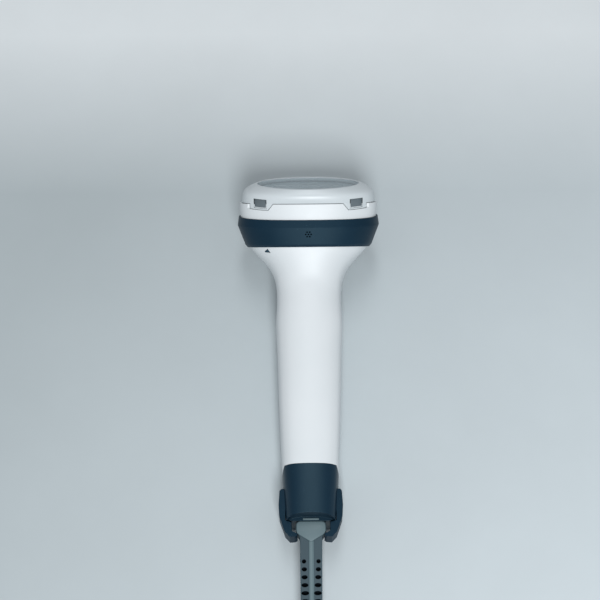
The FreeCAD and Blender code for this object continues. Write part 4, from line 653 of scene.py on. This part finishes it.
def usb_shell():
    """Folded sheet-metal shell with two square windows through both broad faces."""
    shell = block("usb_shell", (USB_X - SHELL_HALF, USB_TIP, USB_Z - SHELL_HALF_HEIGHT),
                  (USB_X + SHELL_HALF, USB_GRIP_END, USB_Z + SHELL_HALF_HEIGHT))
    pick_edges(shell, lambda middle, along: abs(along.y) > 0.9)
    edge_bevel(0.5, 4)
    pick_faces(shell, lambda centre, normal: abs(normal.y) > 0.9)
    bpy.ops.mesh.delete(type="FACE")
    applied(shell, "SOLIDIFY", thickness=SHEET * MM, offset=-1, use_even_offset=True)
    hole = block("usb_window", (USB_X - WINDOW_FAR, USB_TIP + WINDOW_FROM_TIP, 0),
                 (USB_X - WINDOW_NEAR, USB_TIP + WINDOW_TO_TIP, 10))
    twin = copied(hole, "usb_window", (WINDOW_NEAR + WINDOW_FAR, 0, 0))
    hollowed(shell, together([hole, twin]))
    smooth(shell)
    applied(shell, "WEIGHTED_NORMAL", keep_sharp=True)
    return fitted(shell, steel, "pin_steel", "usb_plug_shell")


def usb_contacts():
    """Four gilt contact strips on the tongue."""
    strip = block("usb_contacts", (USB_X - 4.0, USB_TIP + 2.0, CONTACT_TOP - 0.05),
                  (USB_X - 3.0, USB_GRIP_END - 2.0, CONTACT_TOP + 0.12))
    rounded(strip, 0.05, 2)
    row = [strip] + [copied(strip, "usb_contact", (step * CONTACT_PITCH, 0, 0)) for step in (1, 2, 3)]
    return fitted(together(row), gilt, "part_pale")


# ---------------------------------------------------------------- strap round the coil
STRAP_HALF = 4.5
STRAP_INSIDE, STRAP_OUTSIDE, STRAP_TOP = -108.1, -93.1, 22.6
STRAP_THICK = 0.7
STRAP_END_THICK = 0.75
STRAP_END_LOW, STRAP_END_HIGH = 4.2, 18.0


def coil_strap():
    """Woven strap round the turns, closed by an overlapping rounded end."""
    strap = block("coil_strap", (COIL[0] - STRAP_HALF, STRAP_INSIDE, 0.0),
                  (COIL[0] + STRAP_HALF, STRAP_OUTSIDE, STRAP_TOP))
    pick_edges(strap, lambda middle, along: abs(along.x) > 0.9)
    edge_bevel(2.6, 6)
    pick_faces(strap, lambda centre, normal: abs(normal.x) > 0.9)
    bpy.ops.mesh.delete(type="FACE")
    applied(strap, "SOLIDIFY", thickness=STRAP_THICK * MM, offset=-1, use_even_offset=True)
    flap_half = STRAP_HALF - 0.4
    flap = block("strap_end", (COIL[0] - flap_half, STRAP_OUTSIDE - STRAP_END_THICK, STRAP_END_LOW),
                 (COIL[0] + flap_half, STRAP_OUTSIDE, STRAP_END_HIGH))
    pick_edges(flap, lambda middle, along: abs(along.y) > 0.9 and middle.z > 10)
    edge_bevel(2.0, 5)
    rounded(strap, 0.15, 2, 60)
    return fitted(together([strap, flap]), strap_black, "strap_black", "coil_tie")


# ---------------------------------------------------------------- dark piece as painted shade in the pry notch
HEAD_ROOT = (0, 127.75, 21.3)
HEAD_TURN = math.radians(41.0)
# The notch's place in the head, before the head is turned up about its root.
NOTCH_X = -19.4
NOTCH_POINT_Y = HEAD_ROOT[1] + 3.86
NOTCH_LOW, NOTCH_HIGH = HEAD_ROOT[2] + 17.0, HEAD_ROOT[2] + 18.0
NOTCH_HALF, NOTCH_LENGTH = 1.5, 2.0


def painted_notch_shade():
    """Three-cornered dark piece in the bumper's navy material that sits in the pry notch as painted shade."""
    tongue = block("painted_notch_shade", (NOTCH_X - NOTCH_HALF, NOTCH_POINT_Y - NOTCH_LENGTH, NOTCH_LOW),
                   (NOTCH_X + NOTCH_HALF, NOTCH_POINT_Y, NOTCH_HIGH))
    for side in (-1, 1):
        cut_across(tongue, (NOTCH_X, NOTCH_POINT_Y, 0), (side * NOTCH_LENGTH, NOTCH_HALF, 0), -1)
    pick_faces(tongue)
    resized((0.86, 0.86, 1), (NOTCH_X, NOTCH_POINT_Y - 1.2, 0))
    bpy.ops.transform.rotate(value=-HEAD_TURN, orient_axis="X", center_override=in_metres(HEAD_ROOT))
    rounded(tongue, 0.1, 2)
    smooth(tongue)
    return fitted(tongue, rubber_navy, "rubber_navy")


# ---------------------------------------------------------------- springs, dome and screws
LATCH_SPRING_Y, LATCH_SPRING_Z = 4.0, 13.6
LATCH_SPRING_OUT, LATCH_SPRING_IN = 11.3, 7.9
KEY_PIN_Y, KEY_PIN_Z = 91.05, 8.0
KEY_SPRING_RADIUS = 1.4
DOME_Y, DOME_BASE = 110.15, 7.4
CASE_HEAD = 1.4
COVER_HEAD = 0.9


def helix(name, start, side, radius, wire, length, turns):
    """A closed wire helix along X from a start point; side is the way that it goes."""
    chosen(None)
    bpy.ops.mesh.primitive_circle_add(vertices=10, radius=MM * wire, fill_type="NGON",
                                      location=in_metres(start))
    coil = bpy.context.active_object
    bpy.ops.object.mode_set(mode="EDIT")
    bpy.ops.mesh.select_all(action="SELECT")
    bpy.ops.transform.translate(value=(side * MM * wire, MM * radius, 0))
    bpy.ops.mesh.delete(type="ONLY_FACE")
    applied(coil, "SCREW", axis="X", angle=2 * math.pi * turns, screw_offset=side * MM * (length - 2 * wire),
            steps=int(18 * turns), render_steps=int(18 * turns), use_normal_calculate=True)
    started(name)
    bpy.ops.object.mode_set(mode="EDIT")
    bpy.ops.mesh.select_mode(type="EDGE")
    bpy.ops.mesh.select_all(action="SELECT")
    bpy.ops.mesh.remove_doubles(threshold=0.00001)
    bpy.ops.mesh.fill_holes(sides=0)
    bpy.ops.mesh.select_all(action="SELECT")
    bpy.ops.mesh.normals_make_consistent(inside=False)
    smooth(coil, 60)
    return coil


def return_springs():
    """Wire springs behind the two latches and on the key's pin, and the rubber dome of the switch."""
    for side, name in ((-1, "left"), (1, "right")):
        coil = helix("latch_coil_" + name, (side * LATCH_SPRING_OUT, LATCH_SPRING_Y, LATCH_SPRING_Z), -side,
                     1.15, 0.2, LATCH_SPRING_OUT - LATCH_SPRING_IN, 4.5)
        fitted(coil, steel, "pin_steel", "latch_spring_" + name)
        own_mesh(coil)
    coil = helix("key_coil", (-2.0, KEY_PIN_Y, KEY_PIN_Z), 1, KEY_SPRING_RADIUS, 0.25, 4.0, 6.0)
    long_leg = rod("key_leg", 0.25, 5.5, (1.7, KEY_PIN_Y, KEY_PIN_Z + KEY_SPRING_RADIUS), (0, -1, 0), 10)
    short_leg = rod("key_foot", 0.25, 7.5, (-1.7, KEY_PIN_Y, KEY_PIN_Z - KEY_SPRING_RADIUS), (0, 1, 0), 10)
    coil = together([coil, long_leg, short_leg])
    smooth(coil, 60)
    fitted(coil, steel, "pin_steel", "trigger_spring")
    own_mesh(coil)
    dome = rod("switch_dome", 1.7, 1.2, (0, DOME_Y, DOME_BASE), (0, 0, -1), 32, 1.1)
    rounded(dome, 0.3, 4)
    smooth(dome, 60)
    fitted(dome, gasket_black, "gasket_black", "trigger_dome")
    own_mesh(dome)


def screw(name, seat, head_radius, head_thick, shank_radius, shank_length):
    """A pan-head screw with a cross recess, head down; seat is the middle of the face under its head."""
    head = rod(name, head_radius, head_thick, seat, (0, 0, -1), 28, head_radius * 0.86)
    rounded(head, 0.2 * head_thick, 3)
    top = seat[2] - head_thick
    reach, half_slit = 0.55 * head_radius, 0.12 * head_radius
    for half_x, half_y in ((reach, half_slit), (half_slit, reach)):
        arm = block("recess_arm", (seat[0] - half_x, seat[1] - half_y, top - 1),
                    (seat[0] + half_x, seat[1] + half_y, top + 0.6 * head_thick))
        hollowed(head, arm)
    shank = rod(name + "_shank", shank_radius, shank_length, seat, (0, 0, 1), 20)
    rounded(shank, 0.15, 2)
    whole = together([head, shank])
    smooth(whole)
    return whole


def screw_seats(name):
    """Seat of each screw of a node, from the middle and the lowest corner of that screw's mesh."""
    groups = []
    for corner in nodes[name].data.vertices:
        place = corner.co / MM
        for group in groups:
            if (group[0].xy - place.xy).length < 5.0:
                group.append(place)
                break
        else:
            groups.append([place])
    seats = []
    for group in groups:
        xs, ys, zs = zip(*group)
        seats.append(((min(xs) + max(xs)) / 2, (min(ys) + max(ys)) / 2, min(zs) + CASE_HEAD))
    return seats


def screws():
    """Screws of the shells, modelled once and copied, and the one of the foot cover."""
    seats = screw_seats("housing_screws")
    first = seats[0]
    one = screw("case_screws", first, 2.1, CASE_HEAD, 1.0, 9.0)
    row = [one] + [copied(one, "case_screw", [a - b for a, b in zip(seat, first)]) for seat in seats[1:]]
    fitted(together(row), steel, "pin_steel", "housing_screws")
    low, high = ([part / MM for part in corner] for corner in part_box("foot_screw"))
    seat = ((low[0] + high[0]) / 2, (low[1] + high[1]) / 2, low[2] + COVER_HEAD)
    fitted(screw("cover_screw", seat, 1.5, COVER_HEAD, 0.7, 4.5), steel, "pin_steel", "foot_screw")


lead = lead_cord()
relief_boot()
coil_strap()
usb_grip()
usb_shell()
usb_contacts()
painted_notch_shade()
return_springs()
screws()

# ---------------------------------------------------------------- floor, lights
TABLE_SIZE = 10
# Table colours: painted shade away from the key light, painted light towards it and in a far band.
TABLE_PAINTED_SHADE, TABLE_PAINTED_LIGHT, TABLE_FAR_PAINTED_LIGHT = (0.440, 0.485, 0.500), (0.635, 0.690, 0.715), (0.78, 0.81, 0.82)
DAYLIGHT = (0.95, 0.98, 1.0)
ROOM_COLOUR, ROOM_STRENGTH = (0.90, 0.95, 1.0, 1), 0.33


def floor():
    """A pale table whose colour is painted lighter towards the key light's corner and in a band far away, as
    painted light, and that keeps the object's shadow.
    """
    chosen(None)
    bpy.ops.mesh.primitive_plane_add(size=TABLE_SIZE, location=(0, 0.6, 0))
    plane = started("table_top")
    material = bpy.data.materials.new("table paper")
    material.use_nodes = True
    tree = material.node_tree
    shader = tree.nodes["Principled BSDF"]
    shader.inputs["Roughness"].default_value = 0.8
    place = tree.nodes.new("ShaderNodeTexCoord")
    across = tree.nodes.new("ShaderNodeVectorMath")
    across.operation = "DOT_PRODUCT"
    across.inputs[1].default_value = (1.0, -0.7, 0)
    tree.links.new(place.outputs["Object"], across.inputs[0])
    slope = spread(tree, across.outputs["Value"], -0.22, 0.22)
    parts = tree.nodes.new("ShaderNodeSeparateXYZ")
    tree.links.new(place.outputs["Object"], parts.inputs["Vector"])
    far = spread(tree, parts.outputs["Y"], 0.17, 0.27)
    # Painted light and shade: darker away from the key light, lighter towards it and far away.
    painted_light_colour = mixed(tree, far, mixed(tree, slope, TABLE_PAINTED_SHADE, TABLE_PAINTED_LIGHT), TABLE_FAR_PAINTED_LIGHT)
    mottle = spread(tree, noise(tree, 9.0, 6.0, 0.62), 0.3, 0.7)
    worn = mixed(tree, mottle, (0.97, 0.97, 0.97), (1.03, 1.03, 1.03))
    tree.links.new(mixed(tree, 1.0, painted_light_colour, worn, "MULTIPLY"), shader.inputs["Base Color"])
    finish_with(plane, material)


def softbox(name, place, aim, width, height, power):
    """A rectangular area light aimed at a point; its places and sizes are in metres."""
    light = bpy.data.lights.new(name, "AREA")
    light.shape = "RECTANGLE"
    light.size = width
    light.size_y = height
    light.energy = power
    light.color = DAYLIGHT
    lamp = bpy.data.objects.new(name, light)
    lamp.location = place
    lamp.rotation_euler = (Vector(aim) - Vector(place)).to_track_quat("-Z", "Y").to_euler()
    bpy.context.scene.collection.objects.link(lamp)


floor()
softbox("key light", (0.06, -0.60, 0.86), (0, 0.08, 0.02), 0.26, 0.35, 7.7)
softbox("overhead strip", (0.0, 0.50, 1.15), (0, 0.06, 0.02), 0.24, 0.7, 3.0)

world = bpy.data.worlds.new("room")
bpy.context.scene.world = world
world.use_nodes = True
world.node_tree.nodes["Background"].inputs["Color"].default_value = ROOM_COLOUR
world.node_tree.nodes["Background"].inputs["Strength"].default_value = ROOM_STRENGTH
bpy.context.scene.view_settings.view_transform = "Standard"
